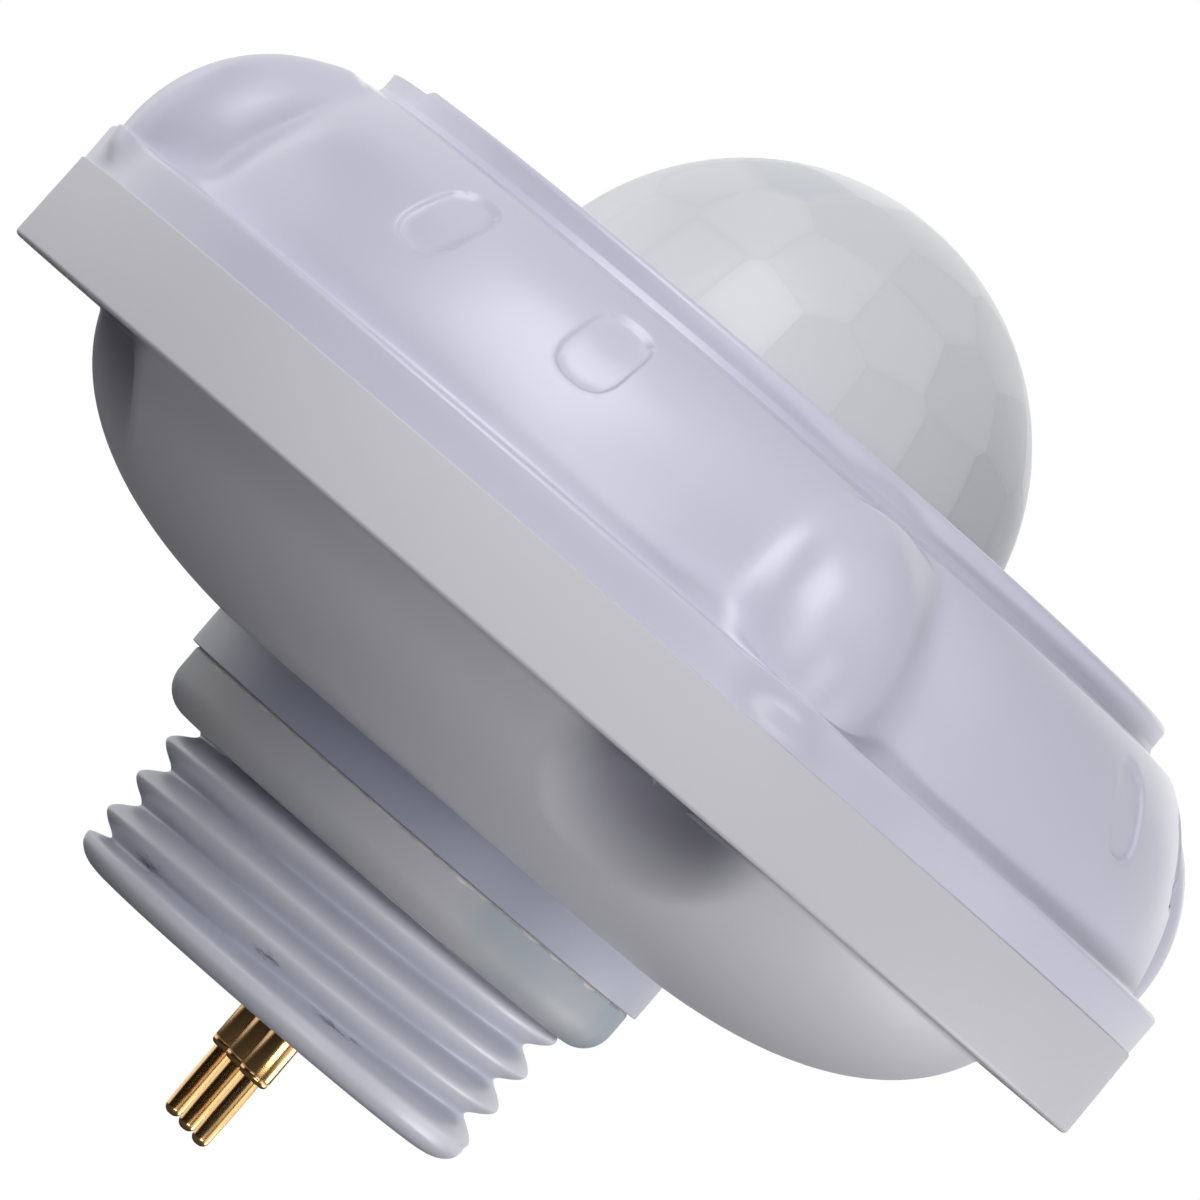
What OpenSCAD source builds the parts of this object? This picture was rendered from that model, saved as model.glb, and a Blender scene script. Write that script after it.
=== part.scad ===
// Screw-in passive infrared motion sensor for a high-bay luminaire.
// Z is the axis of the thread and of the lens. The origin is where the axis meets the underside of
// the gasket, which seats on the luminaire. The lens is at +Z and the contact pins are at -Z.
// All sizes are in millimetres.

/* [Thread and seat] */
// Major diameter of the mounting thread
thread_d = 33; // [30:0.5:36]
// Length of the thread below the gasket
thread_l = 11.6; // [10:0.2:16]
// Chamfer at the free end of the thread
thread_lead = 0.9; // [0.5:0.1:1.2]
// Wall of the threaded spigot, measured from the major diameter
spigot_wall = 3.3; // [2.8:0.1:4]
// Depth of the relief under the gasket, below the major diameter
neck_depth = 0.9; // [0.5:0.1:1.2]
// Height of the gasket
gasket_h = 4.2; // [3:0.1:5]
// Width of the gasket beyond the thread, on the radius
gasket_w = 2.35; // [1.8:0.05:4]
// Width of the spigot's collar beyond the thread, on the radius
collar_w = 2.9; // [2.4:0.05:5]
// Height of the spigot's collar
collar_h = 2.8; // [2:0.1:4]

/* [Lower housing] */
// Height of the bowl
bowl_h = 10; // [9:0.2:13]
// Outer diameter of the rim at its lower edge
rim_d = 92; // [88:0.5:100]
// Height of the rim
rim_h = 6.8; // [6:0.2:9]
// Amount by which the rim narrows towards the seam, on the radius
rim_draft = 0.15; // [0:0.05:0.4]
// Overhang of the rim beyond the bowl, on the radius
rim_overhang = 7.6; // [6.5:0.1:9]
// Wall of the mouldings
wall = 2.2; // [1.8:0.1:2.4]
// Radius of the hollow that lets a screwdriver reach each housing screw
pocket_r = 7.3; // [6.5:0.1:7.6]

/* [Cover] */
// Step from the rim in to the cover's flange, on the radius
flange_step = 0.15; // [0:0.05:0.5]
// Height of the cover's flange
flange_h = 3; // [2.5:0.1:4]
// Width of the ledge on the flange, on the radius
ledge_w = 2.3; // [1.5:0.1:4]
// Height from the flange to the outer edge of the shelf
body_h = 12.6; // [12:0.2:15]
// Width of the shelf round the bezel, on the radius
shelf_w = 2.4; // [1.5:0.1:4]
// Rise of the shelf towards the bezel
shelf_rise = 0.4; // [0.2:0.1:0.8]
// Radius of a lobe's rounded crest
lobe_r = 4.6; // [4.2:0.1:5]
// Overhang of a lobe beyond the flange, on the radius
lobe_overhang = 0.6; // [0:0.1:2]
// Radius of a lobe's bend, seen from the side
lobe_bend = 12.1; // [11.5:0.1:12.6]
// Depth of the flat on which a lobe stands
flat_depth = 1.3; // [0.8:0.1:1.6]
// Width of a debossed mark
mark_w = 5; // [3:0.2:6]
// Length of a debossed mark, along the slope
mark_l = 7.4; // [6:0.2:8]
// Radius of a mark's corners
mark_corner = 1.8; // [0.8:0.1:2.2]
// Depth of a debossed mark
mark_depth = 0.35; // [0.2:0.05:0.5]

/* [Bezel and lens] */
// Outer diameter of the bezel
bezel_d = 67.4; // [64:0.2:70]
// Height of the bezel
bezel_h = 2.05; // [1.8:0.05:3]
// Radius of the bezel's upper edge
bezel_edge = 0.7; // [0.3:0.1:1]
// Depth of the notch for prying the bezel off
notch_depth = 0.45; // [0.3:0.05:0.8]
// Radial width of that notch
notch_w = 3.2; // [2:0.2:4]
// Radius of the lens's outer sphere
dome_r = 19.2; // [18:0.1:20]
// Height of the lens above the bezel
dome_rise = 15.2; // [14:0.1:16]
// Thickness of the lens at the middle of a facet
lens_t = 1.2; // [1:0.1:1.6]
// Thickness of the lens's flange
lens_flange_t = 1.7; // [1.2:0.1:2]

/* [Contact pins] */
// Distance between neighbouring contact pins
pin_pitch = 4.5; // [3.6:0.1:5]
// Wall of a pin's barrel
barrel_wall = 0.3; // [0.2:0.05:0.4]
// Length of the barrel that stands below the thread
barrel_out = 3.6; // [3:0.1:5]
// Diameter of a pin's plunger
plunger_d = 1.42; // [1.2:0.02:1.8]
// Step of the plunger's guided end, on the radius
plunger_step = 0.11; // [0.08:0.01:0.2]
// Length of the plunger that stands out of the barrel
plunger_out = 5.5; // [4:0.1:7]
// Travel of a plunger
pin_travel = 2; // [1:0.1:2.5]

/* [Boards] */
// Gap between the main board and the wall round it
board_gap = 0.7; // [0.4:0.1:2]
// Thickness of both boards
board_t = 1.6; // [1.2:0.2:2]
// Margin of the sensor board beyond the lens's seat, on the radius
sensor_board_margin = 1.5; // [1:0.1:2]
// Diameter of the infrared detector's can
can_d = 9.2; // [8:0.1:10]
// Height of the infrared detector's can
can_h = 4.4; // [4:0.1:5]

/* [Hidden] */
$fn = 64;

// Clearances: loose for parts that are dropped in, sliding for the plungers, and a join overlap
loose = 0.15;
sliding = 0.03;
join = 0.3;
far = 200;

// Heights along the axis
collar_z = gasket_h;
floor_z = collar_z + collar_h;
rim_z = floor_z + bowl_h;
seam_z = rim_z + rim_h;
flange_z = seam_z + flange_h;
shelf_z = flange_z + body_h;
bezel_z = shelf_z + shelf_rise;
bezel_top_z = bezel_z + bezel_h;
dome_z = bezel_top_z + dome_rise - dome_r;

// Radii
thread_r = thread_d / 2;
bore_r = thread_r - spigot_wall;
neck_r = thread_r - neck_depth;
gasket_r = thread_r + gasket_w;
collar_r = thread_r + collar_w;
rim_r = rim_d / 2;
bowl_r = rim_r - rim_overhang;
flange_r = rim_r - rim_draft - flange_step;
body_r = flange_r - ledge_w;
bezel_r = bezel_d / 2;
shelf_r = bezel_r + shelf_w;
lobe_reach = flange_r + lobe_overhang;

// Walls inside the housing: an inner wall carries the seal, and the screws stand outside it
inner_wall_r = bowl_r - wall;
inner_wall_out_r = inner_wall_r + wall + 0.2;
outer_wall_in_r = rim_r - wall;
plate_t = wall + 0.2;
seal_w = 1;
seal_depth = 0.9;
seal_r = (inner_wall_r + inner_wall_out_r) / 2;
seam_chamfer = 0.25;
rim_edge = 0.4;

// Housing screws
boss_ring_r = lobe_reach - lobe_r - 0.8;
boss_r = 3.6;
screw_r = 1.45;
screw_head_r = 2.7;
screw_head_h = 2.2;
head_sink = 3;
sink_r = screw_head_r + 0.3;
sink_boss_r = sink_r + 1.2;
screw_top_z = flange_z + 4.6;
boss_top_z = screw_top_z + 1;
pocket_ring_r = boss_ring_r - 1.4;
lobe_angles = [-90, 0, 90, 180];
post_angles = [for (a = lobe_angles) a + 45];

// Top of the cover: a plate with an opening, and a ledge that carries the lens
plate_z = bezel_z - wall - 0.4;
lens_seat_r = dome_r + 3.8;
ledge_in_r = dome_r + 0.8;
lens_flange_r = lens_seat_r - loose;
lens_flange_top_z = bezel_z + 0.5;
lens_flange_z = lens_flange_top_z - lens_flange_t;
seal_h = 0.8;
ledge_z = lens_flange_z - seal_h;
ledge_t = 1.8;
clip_in_r = (lens_seat_r + bezel_r) / 2 - 1.75;
clip_w = 6;
clip_t = 1.4;
clip_slack = 0.8;
clip_hook = 0.9;
clip_drop = 1.4;
// Angles of the notch for prying the bezel off
notch_start = 138;
notch_sweep = 50;

// Marks on the cover: angles from a lobe's centre, and place along the shoulder's curve
mark_angles = [-53.1, -32.1, 42.2, 66];
mark_at = 0.6;
mark_end = 0.7;

// Contact pins
carrier_z = -thread_l + 0.5;
carrier_t = 3;
carrier_r = bore_r - 0.04;
carrier_ledge = 0.6;
mouth_z = -thread_l - barrel_out;
plunger_r = plunger_d / 2;
plunger_head_r = plunger_r + plunger_step;
barrel_bore_r = plunger_head_r + sliding;
barrel_r = barrel_bore_r + barrel_wall;
barrel_edge = 0.3;
barrel_flange_r = barrel_r + 0.35;
barrel_flange_t = 0.5;
crimp_t = 0.4;
plunger_head_l = 2;
spring_z = mouth_z + crimp_t + plunger_head_l;
spring_l = 2.45 * pin_travel + 2;
spring_top_z = spring_z + spring_l;
barrel_top_z = spring_top_z + 0.8;
spring_wire_r = 0.11;
spring_coil_r = plunger_head_r - spring_wire_r - 0.1;
spring_turns = 8;
tail_r = 0.45;
tail_l = 1.6;
tail_z = barrel_top_z + tail_l;
pin_spots = [for (i = [0 : 2]) [0, -i * pin_pitch]];

// Boards and what stands on them
board_z = rim_z + plate_t;
board_top_z = board_z + board_t;
board_r = inner_wall_r - board_gap;
post_ring_r = board_r - 4.6;
post_r = 3;
board_screw_r = 1.2;
board_head_r = 2.2;
board_head_h = 1.6;
sensor_board_top_z = ledge_z - ledge_t - 1.2;
sensor_board_z = sensor_board_top_z - board_t;
sensor_board_r = lens_seat_r + sensor_board_margin;
sensor_post_ring_r = sensor_board_r - 2.6;
sensor_post_r = 2.2;
terminal_size = [13.6, 8, 5.6];
terminal_at = [0, 4];
terminal_z = board_z - terminal_size[2];
lead_r = 0.8;
lead_spacing = 4.2;
link_at = [0, 17];
link_pitch = 2.54;
link_ways = 4;
link_base_h = 2.5;
link_size = [link_pitch * link_ways, 2.5, sensor_board_z - board_top_z - link_base_h - 1.2];
link_pin = 0.64;
can_at = [0, 0];
light_sensor_at = [0, -11];
chip_at = [-6, -8];
relay_at = [-20, 2];
capacitor_at = [19, 9];
dropper_at = [15, -14];
varistor_at = [-7, -22];
fuse_at = [-16, -17];
// Room for parts on the main board, under the sensor board
room_h = sensor_board_z - board_top_z - 0.6;

// Curves

// Point at fraction t on a cubic curve with four control points
function curve_point(p, t) =
    pow(1 - t, 3) * p[0] + 3 * t * pow(1 - t, 2) * p[1] + 3 * t * t * (1 - t) * p[2] + pow(t, 3) * p[3];

// The curve as a list of points, from the first control point to the last
function curve(p, steps) = [for (i = [0 : steps]) curve_point(p, i / steps)];

// Arc round a centre, from one angle to another
function arc(centre, r, from, to, steps) =
    [for (i = [0 : steps]) centre + r * [cos(from + (to - from) * i / steps), sin(from + (to - from) * i / steps)]];

// Outer line of the bowl, from the rim down to the collar, moved inwards and upwards by a wall
function bowl_line(side, up) = curve([
    [bowl_r - side, rim_z],
    [bowl_r - side - 1.8, rim_z - 0.46 * (bowl_h - up)],
    [collar_r + 0.61 * (bowl_r - side - collar_r), floor_z + up + 0.09 * bowl_h],
    [collar_r, floor_z + up]
], 10);

// Control points of the cover's shoulder, from the flange up to the shelf, moved inwards
function shoulder_points(inwards) = [
    [body_r - inwards, flange_z],
    [body_r - 0.8 - inwards, flange_z + 0.44 * body_h],
    [shelf_r + 3.8 - inwards, shelf_z - 2 - 0.8 * inwards],
    [shelf_r - inwards, shelf_z - inwards]
];

// Outer line of the cover's shoulder, moved inwards
function shoulder_line(inwards) = curve(shoulder_points(inwards), 10);

// Shared forms

// Places its children at a distance from the axis, once for each angle
module ring_of(angles, r) {
    for (a = angles) rotate(a) translate([r, 0, 0]) children();
}

// Ring with a rectangular section
module ring(inner_r, outer_r, low_z, high_z) {
    rotate_extrude() translate([inner_r, low_z]) square([outer_r - inner_r, high_z - low_z]);
}

// Upright cylinder between two heights
module post(r, low_z, high_z) {
    translate([0, 0, low_z]) cylinder(r = r, h = high_z - low_z);
}

// Block standing on a height, centred on a place
module block(at, size, low_z) {
    translate([at[0] - size[0] / 2, at[1] - size[1] / 2, low_z]) cube(size);
}

// Tube swept along points, with one turned ring at each point
module swept(points, r, sides) {
    last = len(points) - 1;
    ring_points = [
        for (i = [0 : last])
            let (
                before = points[max(i - 1, 0)],
                after = points[min(i + 1, last)],
                along = (after - before) / norm(after - before),
                guess = abs(along[0]) > 0.8 ? [0, 1, 0] : [1, 0, 0],
                side = cross(along, guess) / norm(cross(along, guess)),
                up = cross(side, along)
            )
            for (k = [0 : sides - 1])
                points[i] + r * (cos(360 * k / sides) * side + sin(360 * k / sides) * up)
    ];
    walls = [
        for (i = [0 : last - 1], k = [0 : sides - 1])
            let (a = i * sides + k, b = i * sides + (k + 1) % sides)
            each [[a, b, b + sides], [a, b + sides, a + sides]]
    ];
    foot = [[for (k = [sides - 1 : -1 : 0]) k]];
    head = [[for (k = [0 : sides - 1]) last * sides + k]];
    polyhedron(ring_points, concat(walls, foot, head), convexity = 8);
}

// Wire coil round the axis, between two heights
module coil(coil_r, wire_r, turns, low_z, high_z) {
    steps = turns * 10;
    rise = high_z - low_z - 2 * wire_r;
    swept([
        for (i = [0 : steps])
            let (t = i / steps, a = 360 * turns * t)
            [coil_r * cos(a), coil_r * sin(a), low_z + wire_r + rise * t]
    ], wire_r, 6);
}

// Cover

module shoulder_solid(inwards) {
    rotate_extrude() polygon(concat(
        [[0, flange_z - join], [body_r - inwards, flange_z - join]],
        shoulder_line(inwards),
        [[bezel_r - 0.5 - inwards, bezel_z - inwards], [0, bezel_z - inwards]]
    ));
}

// What is cut away to make the flat under a lobe
module flat_cut() {
    half = sqrt(2 * body_r * flat_depth) + 4;
    line = shoulder_line(flat_depth);
    translate([0, half, 0]) rotate([90, 0, 0]) linear_extrude(2 * half)
        polygon(concat(
            [[rim_r + 10, flange_z], [line[0][0], flange_z]],
            line,
            [[line[len(line) - 1][0] - 0.6, bezel_z + join], [rim_r + 10, bezel_z + join]]
        ));
}

// Rounded ridge over a screw: upright, bent over, then level under the bezel
module lobe() {
    mid_r = lobe_bend - lobe_r;
    centre_r = lobe_reach - lobe_bend;
    bend_z = bezel_z - 0.2 - lobe_bend;
    translate([centre_r + mid_r, 0, seam_z + 0.8]) cylinder(r = lobe_r, h = bend_z - seam_z - 0.8);
    translate([centre_r, 0, bend_z]) rotate([90, 0, 0]) rotate_extrude(angle = 90)
        translate([mid_r, 0]) circle(r = lobe_r);
    if (centre_r > shelf_r) translate([shelf_r - 1, 0, bend_z + mid_r]) rotate([0, 90, 0])
        cylinder(r = lobe_r, h = centre_r - shelf_r + 1);
}

module mark_prism() {
    middle = curve_point(shoulder_points(0), mark_at);
    slope = curve_point(shoulder_points(0), mark_end) - middle;
    translate([middle[0], 0, middle[1]]) rotate([0, atan2(slope[1], -slope[0]), 0]) translate([0, 0, -4])
        linear_extrude(8) {
            square([mark_l - 2 * mark_corner, mark_w], center = true);
            square([mark_l, mark_w - 2 * mark_corner], center = true);
            for (s = [-1, 1], t = [-1, 1])
                translate([s * (mark_l / 2 - mark_corner), t * (mark_w / 2 - mark_corner)]) circle(r = mark_corner);
        }
}

module marks() {
    intersection() {
        difference() {
            shoulder_solid(-1);
            shoulder_solid(mark_depth);
        }
        for (half_turn = [0, 180], a = mark_angles) rotate(-90 + half_turn + a) mark_prism();
    }
}

// Room under the shoulder and the top plate, between two radii
module under_shoulder(inwards, inner_r, outer_r, top_z) {
    intersection() {
        rotate_extrude() polygon(concat(
            [[0, seam_z - 1], [body_r - inwards, seam_z - 1]],
            shoulder_line(inwards),
            [[shelf_r - inwards - 1.5, plate_z], [0, plate_z]]
        ));
        ring(inner_r, outer_r, seam_z - 1, top_z);
    }
}

module cover_cavity() {
    post(ledge_in_r, ledge_z - ledge_t - 1, bezel_z + 1);
    post(lens_seat_r, ledge_z, bezel_z + 1);
    post(lens_seat_r + wall + 0.5, seam_z - 1, ledge_z - ledge_t);
    under_shoulder(wall + flat_depth, lens_seat_r + wall, inner_wall_r, bezel_z);
    under_shoulder(wall, inner_wall_out_r, body_r, boss_top_z);
}

module cover() {
    color([0.80, 0.79, 0.93]) difference() {
        union() {
            difference() {
                union() {
                    difference() {
                        shoulder_solid(0);
                        for (a = lobe_angles) rotate(a) flat_cut();
                    }
                    for (a = lobe_angles) rotate(a) lobe();
                    rotate_extrude() polygon([
                        [inner_wall_r - 1, seam_z], [flange_r - seam_chamfer, seam_z],
                        [flange_r, seam_z + seam_chamfer], [flange_r, flange_z - 0.5],
                        [flange_r - 0.5, flange_z], [inner_wall_r - 1, flange_z]
                    ]);
                }
                cover_cavity();
            }
            ring_of(lobe_angles, boss_ring_r) post(boss_r, seam_z, boss_top_z);
            ring_of(post_angles, sensor_post_ring_r) post(sensor_post_r, sensor_board_top_z, ledge_z - ledge_t + join);
        }
        ring_of(lobe_angles, boss_ring_r) post(screw_r + 0.05, seam_z - 1, screw_top_z);
        ring_of(post_angles, sensor_post_ring_r) post(board_screw_r + 0.05, sensor_board_top_z - 1, ledge_z - 0.6);
        ring_of(post_angles, clip_in_r - clip_slack) translate([0, -clip_w / 2 - loose, plate_z - 3])
            cube([clip_slack + clip_t + loose, clip_w + 2 * loose, 8]);
        marks();
    }
}

// Bezel with its four clips, and a notch for prying it off
module lens_bezel() {
    color([0.80, 0.79, 0.93]) {
        difference() {
            rotate_extrude() polygon(concat(
                [[dome_r - 0.05, lens_flange_top_z], [lens_seat_r, lens_flange_top_z], [lens_seat_r, bezel_z],
                 [bezel_r, bezel_z]],
                arc([bezel_r - bezel_edge, bezel_top_z - bezel_edge], bezel_edge, 0, 90, 4),
                [[dome_r - 0.05, bezel_top_z]]
            ));
            rotate(notch_start) rotate_extrude(angle = notch_sweep)
                translate([bezel_r - notch_w, bezel_top_z - notch_depth]) square([notch_w + 1, 2]);
        }
        ring_of(post_angles, clip_in_r) {
            translate([0, -clip_w / 2, plate_z - clip_drop])
                cube([clip_t, clip_w, bezel_z - plate_z + clip_drop + join]);
            translate([clip_t - join, clip_w / 2, plate_z]) rotate([90, 0, 0]) linear_extrude(clip_w)
                polygon([[0, -clip_drop], [join, -clip_drop], [join + clip_hook, -0.05], [0, -0.05]]);
        }
    }
}

// Lens cells: elevation of a row, number of cells, and turn of its first cell
lens_rows = [[19.5, 20, 0], [37.5, 15, 12], [54.2, 10, 18], [71, 5, 10], [90, 1, 0]];
lens_turn = -106.8;

// Room inside the lens, with one flat facet for each cell
module lens_room() {
    intersection() {
        post(dome_r - lens_t - 0.1, lens_flange_z - 1, bezel_top_z + dome_rise);
        translate([0, 0, dome_z]) rotate(lens_turn) intersection_for(
            cell = [for (row = lens_rows, i = [0 : row[1] - 1]) [row[0], row[2] + i * 360 / row[1]]]
        ) rotate([0, -cell[0], cell[1]]) translate([dome_r - lens_t - far, -far / 2, -far / 2]) cube(far);
    }
}

module fresnel_lens() {
    color([0.88, 0.90, 0.93]) difference() {
        union() {
            intersection() {
                translate([0, 0, dome_z]) sphere(r = dome_r, $fn = 96);
                post(dome_r + 1, lens_flange_z, bezel_top_z + dome_rise + 1);
            }
            post(lens_flange_r, lens_flange_z, lens_flange_top_z);
        }
        lens_room();
    }
}

module lens_seal() {
    color([0.25, 0.25, 0.27]) ring(ledge_in_r + 0.4, lens_flange_r - 0.3, ledge_z, lens_flange_z);
}

// Lower housing

module housing_envelope() {
    rotate_extrude() polygon(concat(
        [[0, floor_z]],
        [for (i = [10 : -1 : 0]) bowl_line(0, 0)[i]],
        [[rim_r - rim_edge, rim_z], [rim_r, rim_z + rim_edge], [rim_r - rim_draft, seam_z - seam_chamfer],
         [rim_r - rim_draft - seam_chamfer, seam_z], [0, seam_z]]
    ));
}

module housing_cavity() {
    inner = bowl_line(wall, wall + 0.2);
    rotate_extrude() polygon(concat(
        [[0, floor_z + wall + 0.2]],
        [for (i = [10 : -1 : 0]) inner[i]],
        [[inner_wall_r, seam_z + 1], [0, seam_z + 1]]
    ));
    ring(inner_wall_out_r, outer_wall_in_r, rim_z + plate_t, seam_z + 1);
}

module lower_housing() {
    color([0.86, 0.85, 0.88]) difference() {
        union() {
            difference() {
                housing_envelope();
                housing_cavity();
            }
            intersection() {
                housing_envelope();
                ring_of(lobe_angles, pocket_ring_r) post(pocket_r + wall, floor_z - 1, board_z);
            }
            ring_of(lobe_angles, boss_ring_r) post(sink_boss_r, rim_z + 1, seam_z);
            intersection() {
                housing_envelope();
                ring_of(post_angles, post_ring_r) post(post_r, floor_z - 1, board_z);
            }
        }
        ring_of(lobe_angles, pocket_ring_r) post(pocket_r, floor_z - 2, rim_z);
        ring(seal_r - seal_w / 2, seal_r + seal_w / 2, seam_z - seal_depth, seam_z + 1);
        ring_of(lobe_angles, boss_ring_r) post(sink_r, rim_z - 1, rim_z + head_sink);
        ring_of(lobe_angles, boss_ring_r) post(screw_r + 0.45, rim_z - 1, seam_z + 1);
        ring_of(post_angles, post_ring_r) post(board_screw_r + 0.05, board_z - 6.5, board_z + 1);
        post(thread_r + loose, floor_z - 1, floor_z + 6);
        for (a = [0, 180]) rotate(a) translate([thread_r, 0, floor_z + 0.6])
            cube([3, 3 + 2 * loose, 1.3], center = true);
    }
}

module housing_seal() {
    color([0.2, 0.2, 0.22]) ring(seal_r - seal_w / 2 + 0.05, seal_r + seal_w / 2 - 0.05, seam_z - seal_depth, seam_z);
}

// Screw with a domed head below its seat and a cross recess, driven upwards
module screw_up(shank_r, head_r, head_h, seat_z, tip_z) {
    difference() {
        union() {
            post(shank_r, seat_z - join, tip_z - shank_r);
            translate([0, 0, tip_z - shank_r]) cylinder(r1 = shank_r, r2 = 0.3, h = shank_r);
            translate([0, 0, seat_z]) mirror([0, 0, 1]) rotate_extrude() polygon([
                [0, 0], [head_r, 0], [head_r, 0.45 * head_h], [head_r - 0.5, 0.85 * head_h],
                [head_r - 1.1, head_h], [0, head_h]
            ]);
        }
        for (a = [0, 90]) rotate(a) translate([0, 0, seat_z - head_h])
            cube([1.2 * head_r, 0.22 * head_r, 1.1 * head_h], center = true);
    }
}

module housing_screws() {
    color([0.7, 0.7, 0.72]) ring_of(lobe_angles, boss_ring_r)
        screw_up(screw_r, screw_head_r, screw_head_h, rim_z + head_sink, screw_top_z - 0.8);
}

// Threaded spigot, its gasket and the nut that holds it in the bowl

module threaded_spigot() {
    top_z = floor_z + 6.5;
    color([0.83, 0.84, 0.92]) {
        rotate_extrude() polygon([
            [bore_r, -thread_l], [thread_r - thread_lead, -thread_l], [thread_r, -thread_l + thread_lead],
            [thread_r, 0], [neck_r, 0.6], [neck_r, collar_z], [collar_r - 0.3, collar_z],
            [collar_r, collar_z + 0.3], [collar_r, floor_z], [thread_r, floor_z], [thread_r, top_z - 0.6],
            [thread_r - 0.6, top_z], [bore_r, top_z], [bore_r, carrier_z + carrier_t + 2],
            [bore_r - carrier_ledge, carrier_z + carrier_t + 1], [bore_r - carrier_ledge, carrier_z + carrier_t],
            [bore_r, carrier_z + carrier_t]
        ]);
        for (a = [0, 180]) rotate(a) translate([thread_r - join, -1.5, floor_z - join])
            cube([1.4 + join, 3, 1.1 + join]);
    }
}

module spigot_gasket() {
    inner_r = neck_r + 0.05;
    curl = gasket_w - 0.5;
    color([0.72, 0.72, 0.74]) rotate_extrude() polygon(concat(
        [[thread_r + 0.1, 0]],
        arc([gasket_r - curl, curl], curl, -90, 0, 6),
        [[gasket_r, gasket_h - 0.3], [gasket_r - 0.3, gasket_h], [inner_r, gasket_h], [inner_r, neck_depth]]
    ));
}

module spigot_nut() {
    nut_r = thread_r + 2.8;
    low_z = floor_z + wall + 0.2;
    high_z = low_z + 3.4;
    color([0.92, 0.92, 0.9]) difference() {
        post(nut_r, low_z, high_z);
        post(thread_r + 0.05, low_z - 1, high_z + 1);
        for (i = [0 : 5]) rotate(i * 60 + 30) translate([nut_r, 0, high_z])
            cube([2.6, 4, 4.4], center = true);
    }
}

// Contact pins

module pin_carrier() {
    color([0.93, 0.93, 0.92]) difference() {
        post(carrier_r, carrier_z, carrier_z + carrier_t);
        for (p = pin_spots) translate([p[0], p[1], 0]) post(barrel_r + 0.02, carrier_z - 1, carrier_z + carrier_t + 1);
    }
}

module barrel(spot) {
    color([0.83, 0.66, 0.32]) translate([spot[0], spot[1], 0]) rotate_extrude() polygon(concat(
        [[plunger_r + sliding, mouth_z]],
        arc([barrel_r - barrel_edge, mouth_z + barrel_edge], barrel_edge, -90, 0, 3),
        [[barrel_r, carrier_z + carrier_t], [barrel_flange_r, carrier_z + carrier_t],
         [barrel_flange_r, carrier_z + carrier_t + barrel_flange_t],
         [barrel_r, carrier_z + carrier_t + barrel_flange_t],
         [barrel_r, barrel_top_z], [tail_r, barrel_top_z], [tail_r, tail_z], [0, tail_z], [0, spring_top_z],
         [barrel_bore_r, spring_top_z], [barrel_bore_r, mouth_z + crimp_t], [plunger_r + sliding, mouth_z + crimp_t]]
    ));
}

module plunger(spot) {
    tip_z = mouth_z - plunger_out;
    tip_r = plunger_r - 0.06;
    color([0.85, 0.68, 0.34]) translate([spot[0], spot[1], 0]) rotate_extrude() polygon(concat(
        arc([0, tip_z + tip_r], tip_r, -90, 0, 6),
        [[plunger_r, tip_z + 2], [plunger_r, mouth_z + crimp_t], [plunger_head_r, mouth_z + crimp_t],
         [plunger_head_r, spring_z], [0, spring_z]]
    ));
}

module pin_spring(spot) {
    color([0.75, 0.75, 0.72]) translate([spot[0], spot[1], 0])
        coil(spring_coil_r, spring_wire_r, spring_turns, spring_z, spring_top_z);
}

// Leads from the pins to the terminal block

module lead(spot, way) {
    end_x = terminal_at[0] + way * lead_spacing;
    low = [spot[0], spot[1], tail_z];
    high = [end_x, terminal_at[1], terminal_z];
    swept([
        low, low + [0, 0, 1.5], 0.85 * low + 0.15 * high, 0.6 * low + 0.4 * high,
        0.35 * low + 0.65 * high, 0.12 * low + 0.88 * high, high - [0, 0, 1], high
    ], lead_r, 8);
}

module lead_terminal() {
    color([0.2, 0.5, 0.3]) difference() {
        block(terminal_at, terminal_size, terminal_z);
        for (way = [-1, 0, 1]) translate([terminal_at[0] + way * lead_spacing, terminal_at[1] + 2.6, terminal_z + 2.8])
            rotate([-90, 0, 0]) cylinder(r = 1.2, h = 4);
    }
}

// Boards

module main_board() {
    color([0.1, 0.36, 0.2]) difference() {
        post(board_r, board_z, board_top_z);
        ring_of(post_angles, post_ring_r) post(board_screw_r + 0.2, board_z - 1, board_top_z + 1);
    }
}

// Screw with its head above its seat, driven downwards
module screw_down(shank_r, head_r, head_h, seat_z, tip_z) {
    translate([0, 0, seat_z]) mirror([0, 0, 1]) translate([0, 0, -seat_z])
        screw_up(shank_r, head_r, head_h, seat_z, 2 * seat_z - tip_z);
}

module board_screws() {
    color([0.7, 0.7, 0.72]) ring_of(post_angles, post_ring_r)
        screw_down(board_screw_r, board_head_r, board_head_h, board_top_z, board_z - 6);
}

module relay() {
    color([0.12, 0.3, 0.55]) difference() {
        block(relay_at, [10, 20, room_h], board_top_z);
        block(relay_at, [9, 19, 1], board_top_z + room_h - 0.3);
    }
}

module storage_capacitor() {
    r = 5;
    h = room_h;
    color([0.12, 0.12, 0.14]) translate([capacitor_at[0], capacitor_at[1], board_top_z]) difference() {
        rotate_extrude() polygon([[0, 0], [r, 0], [r, 1], [r - 0.3, 1.4], [r, 1.8], [r, h - 0.4], [r - 0.4, h], [0, h]]);
        for (a = [0, 60, 120]) rotate(a) translate([0, 0, h]) cube([1.4 * r, 0.4, 0.5], center = true);
    }
}

module dropper_capacitor() {
    color([0.8, 0.65, 0.15]) block(dropper_at, [18, 7, room_h - board_head_h], board_top_z);
}

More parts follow.
